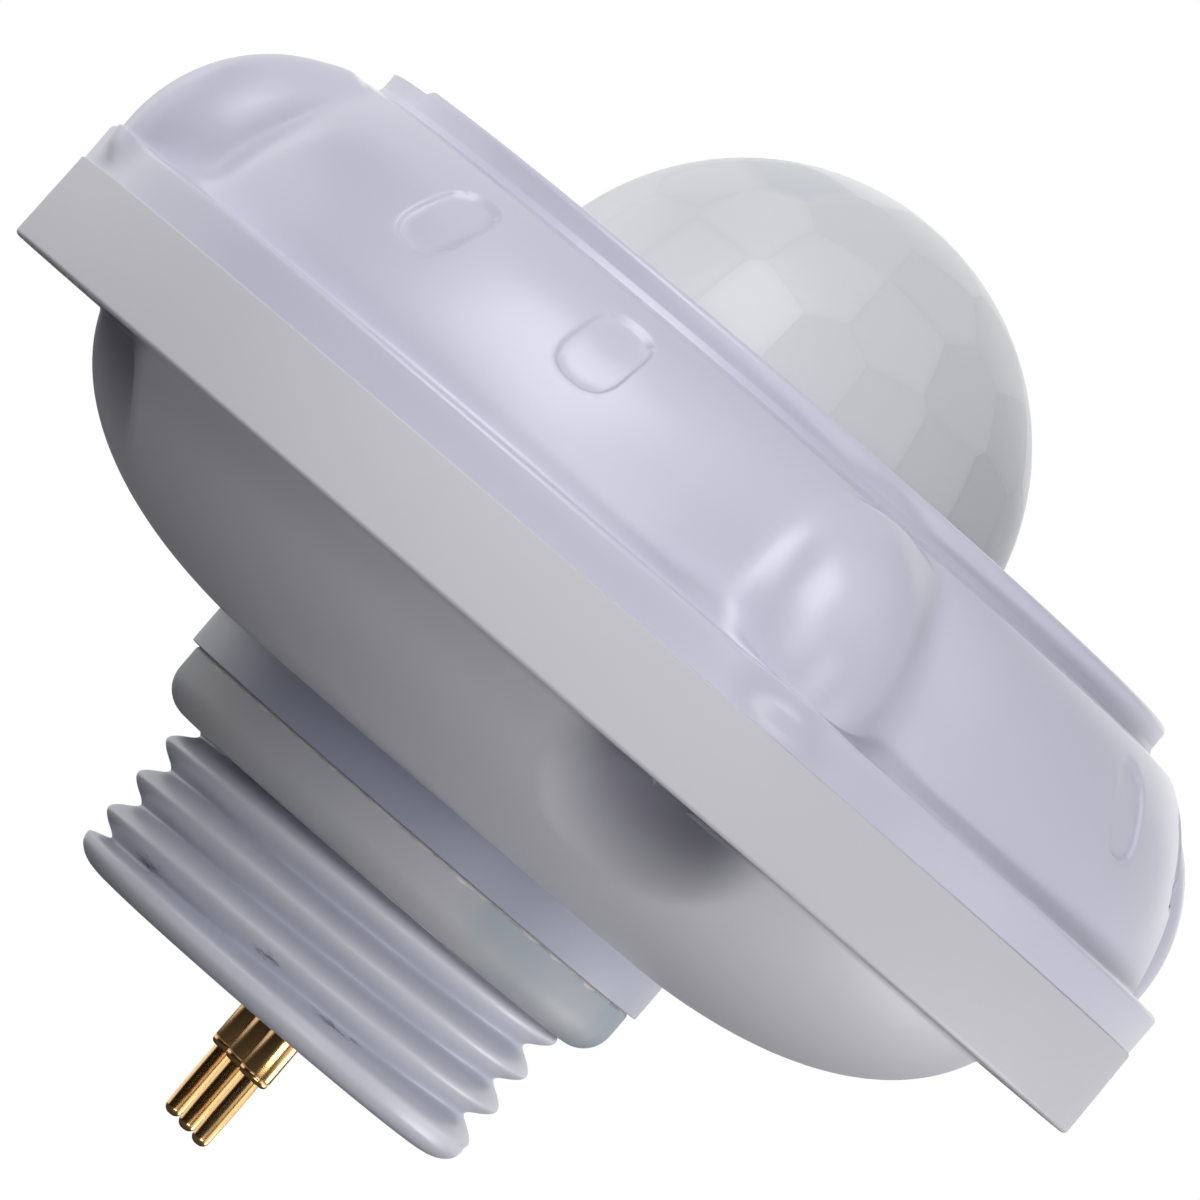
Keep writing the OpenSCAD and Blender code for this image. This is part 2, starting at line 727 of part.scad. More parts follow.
module varistor() {
    color([0.15, 0.35, 0.7]) translate([varistor_at[0], varistor_at[1], board_top_z + 4.9]) rotate([90, 0, 0])
        rotate_extrude() polygon([[0, -1.9], [3.6, -1.9], [4.6, -1], [4.6, 1], [3.6, 1.9], [0, 1.9]]);
    color([0.75, 0.75, 0.76]) for (s = [-1, 1]) translate([varistor_at[0] + s * 2.5, varistor_at[1], 0])
        post(0.35, board_top_z, board_top_z + 3);
}

module fuse() {
    color([0.3, 0.22, 0.16]) translate([fuse_at[0], fuse_at[1], board_top_z]) rotate_extrude()
        polygon([[0, 0], [4.2, 0], [4.2, 7.4], [3.7, 7.9], [0, 7.9]]);
}

module link_socket() {
    color([0.1, 0.1, 0.11]) difference() {
        block(link_at, link_size, board_top_z);
        for (i = [0 : link_ways - 1])
            block([link_at[0] + (i - (link_ways - 1) / 2) * link_pitch, link_at[1]],
                  [link_pin + 0.2, link_pin + 0.2, link_size[2]], board_top_z + 1);
    }
}

module link_header() {
    color([0.1, 0.1, 0.11]) block(link_at, [link_size[0], link_size[1], link_base_h], sensor_board_z - link_base_h);
    color([0.83, 0.66, 0.32]) for (i = [0 : link_ways - 1])
        block([link_at[0] + (i - (link_ways - 1) / 2) * link_pitch, link_at[1]],
              [link_pin, link_pin, sensor_board_z - board_top_z - 3.5], board_top_z + 2.5);
}

module sensor_board() {
    color([0.1, 0.36, 0.2]) difference() {
        post(sensor_board_r, sensor_board_z, sensor_board_top_z);
        ring_of(post_angles, sensor_post_ring_r) post(board_screw_r + 0.2, sensor_board_z - 1, sensor_board_top_z + 1);
    }
}

module sensor_board_screws() {
    color([0.7, 0.7, 0.72]) ring_of(post_angles, sensor_post_ring_r)
        screw_up(board_screw_r, board_head_r, board_head_h, sensor_board_z, ledge_z - 1);
}

// Infrared detector: a can with a base flange and a window in its top
module pir_can() {
    r = can_d / 2;
    color([0.72, 0.7, 0.66]) translate([can_at[0], can_at[1], sensor_board_top_z]) difference() {
        rotate_extrude() polygon([
            [0, 0], [r + 0.5, 0], [r + 0.5, 0.7], [r, 0.7], [r, can_h - 0.5], [r - 0.5, can_h], [0, can_h]
        ]);
        block([0, 0], [4.4, 3.4, 2], can_h - 0.6);
    }
}

module pir_window() {
    color([0.1, 0.1, 0.12]) block(can_at, [4.3, 3.3, 0.5], sensor_board_top_z + can_h - 0.6);
}

module light_sensor() {
    r = 1.5;
    color([0.85, 0.88, 0.9]) translate([light_sensor_at[0], light_sensor_at[1], sensor_board_top_z]) rotate_extrude()
        polygon(concat([[0, 0], [r + 0.3, 0], [r + 0.3, 0.8], [r, 0.8]], arc([0, 2.6], r, 0, 90, 5)));
}

module controller_chip() {
    color([0.1, 0.1, 0.11]) block(chip_at, [8.6, 3.9, 1.5], sensor_board_z - 1.6);
    color([0.75, 0.75, 0.76]) for (i = [0 : 6], s = [-1, 1])
        block([chip_at[0] + (i - 3) * 1.27, chip_at[1] + s * 2.4], [0.42, 1.2, 0.25], sensor_board_z - 0.25);
}

cover();
lens_bezel();
fresnel_lens();
lens_seal();
lower_housing();
housing_seal();
housing_screws();
threaded_spigot();
spigot_gasket();
spigot_nut();
pin_carrier();
barrel(pin_spots[0]);  // barrel_centre
barrel(pin_spots[1]);  // barrel_middle
barrel(pin_spots[2]);  // barrel_outer
plunger(pin_spots[0]);  // plunger_centre
plunger(pin_spots[1]);  // plunger_middle
plunger(pin_spots[2]);  // plunger_outer
pin_spring(pin_spots[0]);  // spring_centre
pin_spring(pin_spots[1]);  // spring_middle
pin_spring(pin_spots[2]);  // spring_outer
color([0.25, 0.4, 0.75]) lead(pin_spots[0], -1);  // lead_neutral
color([0.8, 0.2, 0.15]) lead(pin_spots[1], 0);  // lead_switched
color([0.12, 0.12, 0.12]) lead(pin_spots[2], 1);  // lead_live
lead_terminal();
main_board();
board_screws();
relay();
storage_capacitor();
dropper_capacitor();
varistor();
fuse();
link_socket();
link_header();
sensor_board();
sensor_board_screws();
pir_can();
pir_window();
light_sensor();
controller_chip();
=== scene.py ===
"""Screw-in motion sensor: visual pieces, finishes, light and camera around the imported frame.

Sizes are kept in metres, and the shapes are drawn in millimetres and brought to metres at the end.
Z is the axis of the thread and of the lens, and the origin is at the underside of the gasket.
"""
import bisect
import itertools
import math
from types import SimpleNamespace

import bmesh
import bpy
from bpy.props import FloatProperty, FloatVectorProperty, PointerProperty
from mathutils import Matrix, Vector


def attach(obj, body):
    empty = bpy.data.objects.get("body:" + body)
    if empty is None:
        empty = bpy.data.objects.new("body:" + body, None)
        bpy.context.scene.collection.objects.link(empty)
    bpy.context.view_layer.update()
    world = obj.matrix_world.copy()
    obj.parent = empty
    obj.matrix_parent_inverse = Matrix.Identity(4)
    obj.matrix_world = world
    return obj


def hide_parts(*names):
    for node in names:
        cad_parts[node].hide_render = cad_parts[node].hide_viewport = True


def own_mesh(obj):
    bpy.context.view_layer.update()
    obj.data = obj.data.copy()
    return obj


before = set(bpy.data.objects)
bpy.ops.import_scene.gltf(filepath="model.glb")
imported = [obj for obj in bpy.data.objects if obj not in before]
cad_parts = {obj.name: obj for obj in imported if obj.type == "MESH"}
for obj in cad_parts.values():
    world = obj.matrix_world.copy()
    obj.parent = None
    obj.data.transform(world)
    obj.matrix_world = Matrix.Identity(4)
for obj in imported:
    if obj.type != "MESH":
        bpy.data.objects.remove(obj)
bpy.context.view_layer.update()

bl_info = {
    "name": "Screw-in motion sensor",
    "version": (1, 0, 0),
    "blender": (4, 5, 0),
    "location": "View3D > Sidebar > Sensor",
    "description": "Builds the visual pieces of a screw-in motion sensor around its packed frame",
    "category": "Object",
}

MM = 0.001
FULL_TURN = 2 * math.pi


def length(name, description, millimetres):
    """A size in metres whose default is given in millimetres."""
    return FloatProperty(
        name=name, description=description, default=millimetres * MM, min=0.0, unit="LENGTH", precision=5
    )


def height(name, description, millimetres):
    """A height above the origin, which may be below it."""
    return FloatProperty(
        name=name, description=description, default=millimetres * MM, unit="LENGTH", precision=5
    )


def angle(name, description, degrees):
    return FloatProperty(name=name, description=description, default=math.radians(degrees), subtype="ANGLE")


def colour(name, description, red, green, blue):
    """A colour given as it looks on a screen, kept as linear light."""
    linear = [to_linear(part) for part in (red, green, blue)]
    return FloatVectorProperty(
        name=name, description=description, default=linear, subtype="COLOR", size=3, min=0.0, max=1.0
    )


def to_linear(part):
    return part / 12.92 if part <= 0.04045 else ((part + 0.055) / 1.055) ** 2.4


class CoverSizes(bpy.types.PropertyGroup):
    seam: height("Seam", "Height of the seam between the cover and the housing", 23.8)
    flange: height("Flange", "Height of the top of the flange", 26.8)
    shelf: height("Shelf", "Height of the outer edge of the shelf", 39.4)
    seat: height("Seat", "Height of the bezel's seat", 39.8)
    flange_radius: length("Flange radius", "Outer radius of the flange", 45.7)
    ledge_radius: length("Ledge radius", "Radius at the foot of the shoulder", 43.4)
    shelf_radius: length("Shelf radius", "Radius at the top of the shoulder", 36.1)
    flange_edge: length("Flange edge", "Radius of the flange's upper edge", 0.42)
    foot_fillet: length("Foot fillet", "Radius of the inner corner on the flange", 0.4)
    lobe_tube: length("Lobe tube", "Radius of a lobe's crest", 6.4)
    lobe_bend: length("Lobe bend", "Radius of the bend of a lobe's middle line", 5.7)
    lobe_flank: angle("Lobe flank", "Slope of a lobe's sides", 48)
    lobe_centre: length("Lobe centre", "Distance of the bend's centre from the axis", 34.2)
    lobe_bend_height: height("Bend height", "Height of the centre of a lobe's bend", 27.5)
    flat_depth: length("Flat depth", "Depth of the flat beside a lobe", 1.45)
    flat_soft: length("Flat edge", "Softness of the outer edge of the flat", 0.6)
    lobe_fillet: length("Lobe fillet", "Softness of the corner between lobe and flat", 1.9)
    mark_width: length("Mark width", "Width of a debossed mark", 4.9)
    mark_length: length("Mark length", "Length of a debossed mark along the slope", 7.2)
    mark_corner: length("Mark corner", "Radius of a mark's corners", 2.1)
    mark_depth: length("Mark depth", "Depth of a debossed mark", 0.27)
    mark_step: length("Mark step", "Width of the step round a mark", 0.34)
    mark_slope: length("Mark slope", "Width of the slope at a mark's upper end", 0.8)


class BezelSizes(bpy.types.PropertyGroup):
    radius: length("Radius", "Outer radius of the bezel", 33.7)
    seat: height("Seat", "Height of the bezel's underside", 39.8)
    top: height("Top", "Height of the bezel's upper face", 41.85)
    edge: length("Edge", "Radius of the upper edge", 0.5)
    foot: length("Foot", "Height of the sloping foot of the wall", 0.42)
    notch_width: length("Notch width", "Radial width of the notch", 3.2)
    notch_depth: length("Notch depth", "Depth of the notch", 0.45)
    notch_start: angle("Notch start", "Angle at which the notch starts", 138)
    notch_sweep: angle("Notch sweep", "Angle that the notch covers", 50)


class LensSizes(bpy.types.PropertyGroup):
    radius: length("Radius", "Radius of the dome", 19.2)
    centre: height("Centre", "Height of the centre of the dome", 37.85)
    wall: length("Wall", "Thickness at the middle of a cell", 1.2)
    flange_radius: length("Flange radius", "Radius of the flange under the bezel", 22.85)
    flange_top: height("Flange top", "Height of the flange's upper face", 40.3)
    flange_low: height("Flange underside", "Height of the flange's underside", 38.6)
    turn: angle("Turn", "Angle at which the first cell of each row is centred", -106.8)


class HousingSizes(bpy.types.PropertyGroup):
    rim_radius: length("Rim radius", "Outer radius of the rim", 46.0)
    rim_draft: length("Rim draft", "Narrowing of the rim towards the seam", 0.15)
    rim: height("Rim", "Height of the rim's underside", 17.0)
    seam: height("Seam", "Height of the seam", 23.8)
    bowl_radius: length("Bowl radius", "Radius at the top of the bowl", 38.4)
    floor: height("Floor", "Height of the bowl's flat underside", 7.0)
    collar_radius: length("Collar radius", "Radius of the collar under the bowl", 19.4)
    pocket_radius: length("Pocket radius", "Radius of the hollows at the screws", 6.4)
    pocket_ring: length("Pocket ring", "Distance of the hollows from the axis", 41.2)
    pocket_soft: length("Pocket edge", "Softness of the edge of the hollows", 3.3)
    screw_ring: length("Screw ring", "Distance of the screws from the axis", 40.9)
    screw_sink: length("Screw sink", "Radius of the hole round a screw head", 3.0)
    sink_depth: length("Sink depth", "Depth of the hole above the rim's underside", 3.0)


class SpigotSizes(bpy.types.PropertyGroup):
    thread_radius: length("Thread radius", "Major radius of the thread", 16.5)
    thread_root: length("Thread root", "Root radius of the thread", 14.8)
    thread_pitch: length("Thread pitch", "Distance from crest to crest", 3.0)
    thread_length: length("Thread length", "Length of the thread under the gasket", 11.6)
    end_radius: length("End radius", "Radius of the thread's flat lower end", 14.1)
    end_height: length("End height", "Height of the rounding at the thread's lower end", 1.8)
    bore_radius: length("Bore", "Radius of the bore", 13.2)
    neck_radius: length("Neck", "Radius of the relief under the gasket", 15.6)
    collar_radius: length("Collar radius", "Radius of the collar", 19.4)
    gasket_radius: length("Gasket radius", "Outer radius of the gasket", 18.85)
    gasket_height: length("Gasket height", "Height of the gasket", 4.2)
    gasket_curl: length("Gasket curl", "Radius of the gasket's lower edge", 2.25)
    floor: height("Floor", "Height of the top of the collar", 7.0)


class PinSizes(bpy.types.PropertyGroup):
    pitch: length("Pitch", "Distance between neighbouring pins", 4.5)
    barrel_radius: length("Barrel", "Outer radius of a barrel", 1.15)
    plunger_radius: length("Plunger", "Radius of a plunger", 0.71)
    mouth: height("Mouth", "Height of the barrels' mouths", -15.2)
    tip: height("Tip", "Height of the plungers' tips", -20.7)
    head: length("Head", "Height of a plunger's head over the mouth of its barrel", 2.4)
    coil_radius: length("Coil", "Radius of a spring, to the middle of its wire", 0.61)
    wire_radius: length("Wire", "Radius of a spring's wire", 0.11)
    spring_top: height("Spring top", "Height of the springs' upper ends, which stay in place", -5.9)
    travel: length("Travel", "How far a plunger slides into its barrel", 2.0)


class Finishes(bpy.types.PropertyGroup):
    cover: colour("Cover", "Plastic of the cover and the bezel", 0.822, 0.818, 0.888)
    housing: colour("Housing", "Plastic of the lower housing", 0.815, 0.81, 0.84)
    spigot: colour("Spigot", "Plastic of the threaded spigot", 0.825, 0.83, 0.87)
    gasket: colour("Gasket", "Rubber of the gasket", 0.7, 0.7, 0.72)
    lens: colour("Lens", "Milky plastic of the lens", 0.865, 0.87, 0.885)
    gold: colour("Gold", "Plating of the contact pins", 0.85, 0.68, 0.46)


BOOK = {
    "cover": CoverSizes,
    "bezel": BezelSizes,
    "lens": LensSizes,
    "housing": HousingSizes,
    "spigot": SpigotSizes,
    "pins": PinSizes,
    "finishes": Finishes,
}


def sizes(name):
    """The sizes of one group: lengths in millimetres, angles in radians."""
    group = getattr(bpy.context.scene, "sensor_" + name)
    values = {}
    for key in BOOK[name].__annotations__:
        value = getattr(group, key)
        unit = group.bl_rna.properties[key].unit
        values[key] = value / MM if unit == "LENGTH" else value
    return SimpleNamespace(**values)


def paint(name):
    return tuple(getattr(bpy.context.scene.sensor_finishes, name))


# Outlines


def rounded(corners, closed=True, step=18):
    """Points of a line in (radius, height), with an arc in place of each corner that has a radius."""
    points = []
    count = len(corners)
    for i, corner in enumerate(corners):
        here = Vector(corner[:2])
        radius = corner[2] if len(corner) > 2 else 0
        ends = not closed and i in (0, count - 1)
        if radius <= 0 or ends:
            points.append(here)
            continue
        back = (Vector(corners[i - 1][:2]) - here).normalized()
        ahead = (Vector(corners[(i + 1) % count][:2]) - here).normalized()
        half = back.angle(ahead) / 2
        inset = radius / math.tan(half)
        centre = here + (back + ahead).normalized() * radius / math.sin(half)
        first = here + back * inset - centre
        last = here + ahead * inset - centre
        turn = first.angle(last)
        steps = max(2, math.ceil(math.degrees(turn) / step))
        for k in range(steps + 1):
            t = k / steps
            blend = (first * math.sin((1 - t) * turn) + last * math.sin(t * turn)) / math.sin(turn)
            points.append(centre + blend)
    return points


def curve_point(control, t):
    """Point on a cubic curve with four control points."""
    a, b, c, d = (Vector(p) for p in control)
    s = 1 - t
    return s * s * s * a + 3 * s * s * t * b + 3 * s * t * t * c + t * t * t * d


def smooth_step(low, high, value):
    t = min(1.0, max(0.0, (value - low) / (high - low)))
    return t * t * (3 - 2 * t)


def soft_max(a, b, soft):
    """The larger of two lengths, rounded where they are about the same."""
    near = max(soft - abs(a - b), 0) / soft
    return max(a, b) + near * near * soft / 4


def soft_min(a, b, soft):
    return -soft_max(-a, -b, soft)


def turn_between(angle_a, angle_b):
    """Signed angle from b to a, between minus and plus a half turn."""
    return (angle_a - angle_b + math.pi) % FULL_TURN - math.pi


def around_axis(place):
    """Distance of a place from the axis, and its angle round it."""
    return math.hypot(place.x, place.y), math.atan2(place.y, place.x)


def ring_point(r, at, z):
    """Place at a distance from the axis, an angle round it and a height."""
    return Vector((r * math.cos(at), r * math.sin(at), z))


# Meshes


def spin_line(bm, points, stops, closed=True, index=None):
    """Turns a line round the axis in sectors: each stop has an angle and its number of steps."""
    angles = []
    for (low, steps), (high, _) in zip(stops, stops[1:]):
        angles += [low + (high - low) * i / steps for i in range(steps)]
    angles.append(stops[-1][0])
    line = list(points)
    if closed:
        line.append(points[0])
    made = bmesh.ops.create_grid(bm, x_segments=len(line) - 1, y_segments=len(angles) - 1, size=1)
    for i, vert in enumerate(made["verts"]):
        column, row = divmod(i, len(line))
        r, z = line[row]
        vert.co = ring_point(r, angles[column], z)
        if index is not None:
            vert[index] = row % len(points) + 1
    tidy_mesh(bm)


def spin_whole(bm, points, steps, closed=True):
    spin_line(bm, points, [(0, steps), (FULL_TURN, 0)], closed)


def tidy_mesh(bm):
    bmesh.ops.remove_doubles(bm, verts=bm.verts, dist=1e-4)
    bmesh.ops.dissolve_degenerate(bm, dist=1e-5, edges=bm.edges)
    bmesh.ops.recalc_face_normals(bm, faces=bm.faces)


def add_object(name, data):
    """A new object in the scene, round a mesh, a lamp or a camera."""
    thing = bpy.data.objects.new(name, data)
    bpy.context.scene.collection.objects.link(thing)
    return thing


def mesh_object(bm, name):
    """A new object that takes over a drawn mesh."""
    mesh = bpy.data.meshes.new(name)
    bm.to_mesh(mesh)
    bm.free()
    return add_object(name, mesh)


def make_piece(bm, name, node_names, material, body="housing", sharp=None):
    """Turns a mesh drawn in millimetres into a piece that stands for one or more nodes."""
    bmesh.ops.scale(bm, vec=(MM, MM, MM), verts=bm.verts)
    piece = mesh_object(bm, name)
    piece.data.shade_smooth()
    if sharp:
        piece.data.set_sharp_from_angle(angle=math.radians(sharp))
    piece.data.materials.append(material)
    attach(piece, body)
    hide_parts(*node_names)
    return piece


# Finishes

GRAIN_SCALE = 2600
GRAIN_DEPTH = 0.00005
MOTTLE_SCALE = 60
METAL_SCALE = 150


def feed(tree, socket, value):
    """Gives an input its value, or the output that drives it."""
    if isinstance(value, bpy.types.NodeSocket):
        tree.links.new(value, socket)
    else:
        socket.default_value = value


def add_node(tree, kind, inputs=None, **settings):
    """A shader node with its settings and with a value or a link at each named input."""
    node = tree.nodes.new("ShaderNode" + kind)
    row, column = divmod(len(tree.nodes), 5)
    node.location = (220 * column, -300 * row)
    for key, value in settings.items():
        setattr(node, key, value)
    for name, value in (inputs or {}).items():
        feed(tree, node.inputs[name], value)
    return node


def calculate(tree, operation, *values):
    return add_node(tree, "Math", dict(enumerate(values)), operation=operation).outputs["Value"]


def remap(tree, value, low, high, to_low=0, to_high=1):
    """Stretches what lies between low and high to another range."""
    limits = {"From Min": low, "From Max": high, "To Min": to_low, "To Max": to_high}
    return add_node(tree, "MapRange", {"Value": value, **limits}).outputs["Result"]


def mix_colours(tree, factor, first, second):
    """Mixes two colours, each one either a socket or red, green and blue."""
    first, second = ((*part, 1) if isinstance(part, tuple) else part for part in (first, second))
    node = add_node(tree, "Mix", {"Factor": factor, "A": first, "B": second}, data_type="RGBA")
    return node.outputs["Result"]


def noise(tree, place, scale, detail, roughness=0.5):
    inputs = {"Vector": place, "Scale": scale, "Detail": detail, "Roughness": roughness}
    return add_node(tree, "TexNoise", inputs).outputs["Fac"]


def own_place(tree):
    return add_node(tree, "TexCoord").outputs["Object"]


def attribute(tree, name, kind="Fac"):
    return add_node(tree, "Attribute", attribute_name=name).outputs[kind]


def moulded_group():
    """Skin of a moulded or drawn surface: the height of its grain and a soft mottling."""
    group = bpy.data.node_groups.get("moulded skin")
    if group:
        return group
    group = bpy.data.node_groups.new("moulded skin", "ShaderNodeTree")
    scale = group.interface.new_socket("Mottle scale", in_out="INPUT", socket_type="NodeSocketFloat")
    scale.default_value = MOTTLE_SCALE
    for label in ("Height", "Mottle"):
        group.interface.new_socket(label, in_out="OUTPUT", socket_type="NodeSocketFloat")
    start = group.nodes.new("NodeGroupInput")
    end = group.nodes.new("NodeGroupOutput")
    place = own_place(group)
    feed(group, end.inputs["Height"], noise(group, place, GRAIN_SCALE, 2))
    feed(group, end.inputs["Mottle"], noise(group, place, start.outputs["Mottle scale"], 4))
    return group


def new_material(name, base, roughness, metallic=0.0):
    """A material with its shader, and the shader itself."""
    material = bpy.data.materials.new(name)
    material.use_nodes = True
    tree = material.node_tree
    tree.nodes.clear()
    values = {"Base Color": (*base, 1), "Roughness": roughness, "Metallic": metallic}
    shader = add_node(tree, "BsdfPrincipled", values)
    add_node(tree, "OutputMaterial", {"Surface": shader.outputs["BSDF"]})
    return material, shader


def tinted(base, *factors):
    """A colour with its parts multiplied by one factor, or by one each."""
    if len(factors) == 1:
        factors *= 3
    return tuple(min(1.0, part * factor) for part, factor in zip(base, factors))


def surface(name, base, roughness, change, tones, metallic=0.0, scale=MOTTLE_SCALE, grain=0.0):
    """A mottled colour and an uneven gloss, with a fine skin where there is grain."""
    found = bpy.data.materials.get(name)
    if found:
        return found
    material, shader = new_material(name, base, roughness, metallic)
    tree = material.node_tree
    skin = add_node(tree, "Group", node_tree=moulded_group())
    skin.inputs["Mottle scale"].default_value = scale
    mottle = skin.outputs["Mottle"]
    low, high = (tinted(base, tone) for tone in tones)
    feed(tree, shader.inputs["Base Color"], mix_colours(tree, mottle, low, high))
    gloss = remap(tree, mottle, 0, 1, roughness - change, roughness + change)
    feed(tree, shader.inputs["Roughness"], gloss)
    if grain:
        values = {"Strength": grain, "Distance": GRAIN_DEPTH, "Height": skin.outputs["Height"]}
        feed(tree, shader.inputs["Normal"], add_node(tree, "Bump", values).outputs["Normal"])
    return material


def plastic(name, base, roughness, grain=0.03, mottle=0.03):
    return surface(name, base, roughness, 0.04, (1 - mottle, 1 + mottle), grain=grain)


def metal(name, base, roughness):
    return surface(name, base, roughness, 0.05, (0.93, 1.04), metallic=1.0, scale=METAL_SCALE)


def painted(material):
    """A material's tree, the input of its colour, and the output that feeds it so far."""
    tree = material.node_tree
    shader = next(node for node in tree.nodes if node.type == "BSDF_PRINCIPLED")
    socket = shader.inputs["Base Color"]
    return tree, socket, socket.links[0].from_socket


# Cover

OPENING = 23.0
LENS_LEDGE = (20.0, 36.0, 37.8)
SKIN = 3.7
SEAL_WALL = 36.2
INNER_WALL = 38.6
LOBES = [math.radians(a) for a in (-90, 0, 90, 180)]
MARKS = [math.radians(-90 + half + a) for half in (0, 180) for a in (-53.1, -32.1, 42.2, 66.0)]
LOBE_SPAN = math.radians(21)
LOBE_STEPS = 84
MARK_AT = 0.6
MARK_RADIUS = 40.1
MARK_REACH = 1.6
MARK_ROWS = 8
ROWS_BELOW = 11
ROWS_ABOVE = 4
COARSE_SECTOR = 1.5
FLANGE_LIFT = 0.06


def shoulder(size, inwards=0.0):
    """Control points of the shoulder's curve, from the flange up to the shelf."""
    return (
        (size.ledge_radius - inwards, size.flange),
        (size.ledge_radius - 0.8 - inwards, size.flange + 0.44 * (size.shelf - size.flange)),
        (size.shelf_radius + 3.8 - inwards, size.shelf - 2 - 0.8 * inwards),
        (size.shelf_radius - inwards, size.shelf - inwards),
    )


def shoulder_table(size, steps=400):
    """Dense points along the shoulder, with the distance run along it."""
    control = shoulder(size)
    table = []
    run = 0.0
    last = None
    for i in range(steps + 1):
        point = curve_point(control, i / steps)
        if last is not None:
            run += (point - last).length
        table.append((run, point))
        last = point
    return table


def along_shoulder(table, run):
    """Point at a distance along the shoulder."""
    run = min(max(run, 0.0), table[-1][0])
    after = min(max(bisect.bisect_left(table, run, key=lambda entry: entry[0]), 1), len(table) - 1)
    low, high = table[after - 1], table[after]
    return low[1].lerp(high[1], (run - low[0]) / (high[0] - low[0]))


def nearest_run(table, point):
    best = min(table, key=lambda entry: (entry[1] - point).length_squared)
    return best[0], (best[1] - point).length


def mark_rows(size, table):
    """Distances along the shoulder at which the mesh follows a mark's outline."""
    middle, _ = nearest_run(table, curve_point(shoulder(size), MARK_AT))
    half = size.mark_length / 2
    low, high = -half + size.mark_step, half - size.mark_slope
    rows = [-1.3 * half, -1.12 * half] + [-half + size.mark_step * i / 4 for i in range(5)]
    rows += [half - size.mark_slope * i / 4 for i in range(5)] + [1.1 * half]
    rows += [low + (high - low) * i / MARK_ROWS for i in range(1, MARK_ROWS)]
    return middle, sorted(rows)


def cover_outline(size, table):
    """Outer line of the cover, from the seam up to the bezel's seat and in to the opening."""
    middle, rows = mark_rows(size, table)
    first, last = middle + rows[0], middle + rows[-1]
    runs = [first * i / ROWS_BELOW for i in range(1, ROWS_BELOW)] + [middle + row for row in rows]
    runs += [last + (table[-1][0] - last) * i / ROWS_ABOVE for i in range(1, ROWS_ABOVE)]
    foot = [(size.flange_radius, size.seam + rise) for rise in (0, 0.8, 1.6)] + [
        (size.flange_radius, size.flange, size.flange_edge),
        (size.ledge_radius + 0.02, size.flange, size.foot_fillet),
    ]
    face = [tuple(along_shoulder(table, run)) for run in runs]
    top = [
        (size.shelf_radius, size.shelf, 0.45), (33.9, size.shelf + 0.34), (33.6, size.seat),
        (OPENING, size.seat),
    ]
    return rounded(foot + face + top, closed=False, step=22)


def cover_inside(size):
    """Inner line of the cover, from the opening round the lens's ledge and back to the seam."""
    ledge_r, ledge_low, ledge_top = LENS_LEDGE
    skin = [tuple(curve_point(shoulder(size, SKIN), t)) for t in (0.85, 0.6, 0.4, 0.2)]
    return [
        (OPENING, ledge_top), (ledge_r, ledge_top), (ledge_r, ledge_low),
        (25.2, ledge_low), (25.2, 37.2), (31.1, 37.2), *skin,
        (SEAL_WALL, size.seam), (INNER_WALL, size.seam), (INNER_WALL, 32.0), (40.6, 30.0),
        (41.2, 27.5), (41.2, size.seam),
    ]


def lobe_surface(size, r, z, turn):
    """Where a point of the turned cover goes beside a lobe: its new radius and height."""
    centre = size.lobe_centre
    if r < centre + 0.6:
        return r, z
    bend_z = min(z, size.lobe_bend_height)
    away = Vector((r - centre, z - bend_z))
    depth = away.length
    ray = away / depth
    on_body = smooth_step(size.flange - 0.2, size.flange + 2.2, z)
    on_body *= smooth_step(centre + 0.8, centre + 3.2, r)
    flat = soft_min(r, (r - size.flat_depth) / math.cos(turn), size.flat_soft)
    lowered = depth + (flat - r) * ray.x * on_body
    crest = size.lobe_bend + size.lobe_tube
    soft = 0.1 + size.lobe_fillet * smooth_step(0, 0.9, crest - lowered)
    reach = lowered
    for _ in range(6):
        across = abs((centre + ray.x * reach) * math.sin(turn))
        reach = soft_max(lowered, ridge(size, across), soft)
    new_depth = depth + (reach - depth) * smooth_step(size.seam + 0.3, size.seam + 2.2, z)
    new_r = centre + ray.x * new_depth
    near_flange = smooth_step(size.flange - 0.8, size.flange, z)
    near_flange *= 1 - smooth_step(size.flange, size.flange + 4.2, z)
    return new_r, bend_z + ray.y * new_depth + FLANGE_LIFT * max(new_r - r, 0.0) * near_flange


def ridge(size, across):
    """Distance of a lobe's skin from the bend's centre: a round crest and flared sides."""
    tube, slope = size.lobe_tube, size.lobe_flank
    crest = tube * math.sin(slope)
    if across <= crest:
        return size.lobe_bend + math.sqrt(tube * tube - across * across)
    return size.lobe_bend + tube * math.cos(slope) - (across - crest) * math.tan(slope)


def mark_shape(size, across, along):
    """Moves a point so that the mesh follows a mark's rounded outline, and gives its depth there."""
    half_w = size.mark_width / 2
    half_l = size.mark_length / 2
    share = max(abs(across) / half_w, abs(along) / half_l)
    if share > MARK_REACH or share < 1e-6:
        return across, along, size.mark_depth if share < 1e-6 else 0.0
    x, y = abs(across) / share, abs(along) / share
    corner = Vector((half_w - size.mark_corner, half_l - size.mark_corner))
    shrink = 1.0
    if x > corner.x and y > corner.y:
        border = Vector((x, y))
        a = border.length_squared
        b = -2 * border.dot(corner)
        c = corner.length_squared - size.mark_corner ** 2
        shrink = (-b + math.sqrt(max(b * b - 4 * a * c, 0))) / (2 * a)
    keep = smooth_step(1.0, MARK_REACH, share)
    factor = shrink + (1 - shrink) * keep
    upper = smooth_step(0.55, 1.0, along / (share * half_l))
    width = size.mark_step + (size.mark_slope - size.mark_step) * upper
    inside = (1 - share) * (half_w if abs(across) / half_w > abs(along) / half_l else half_l)
    depth = size.mark_depth * smooth_step(0, width, inside) * (1 + 0.25 * upper)
    return across * factor, along * factor, depth


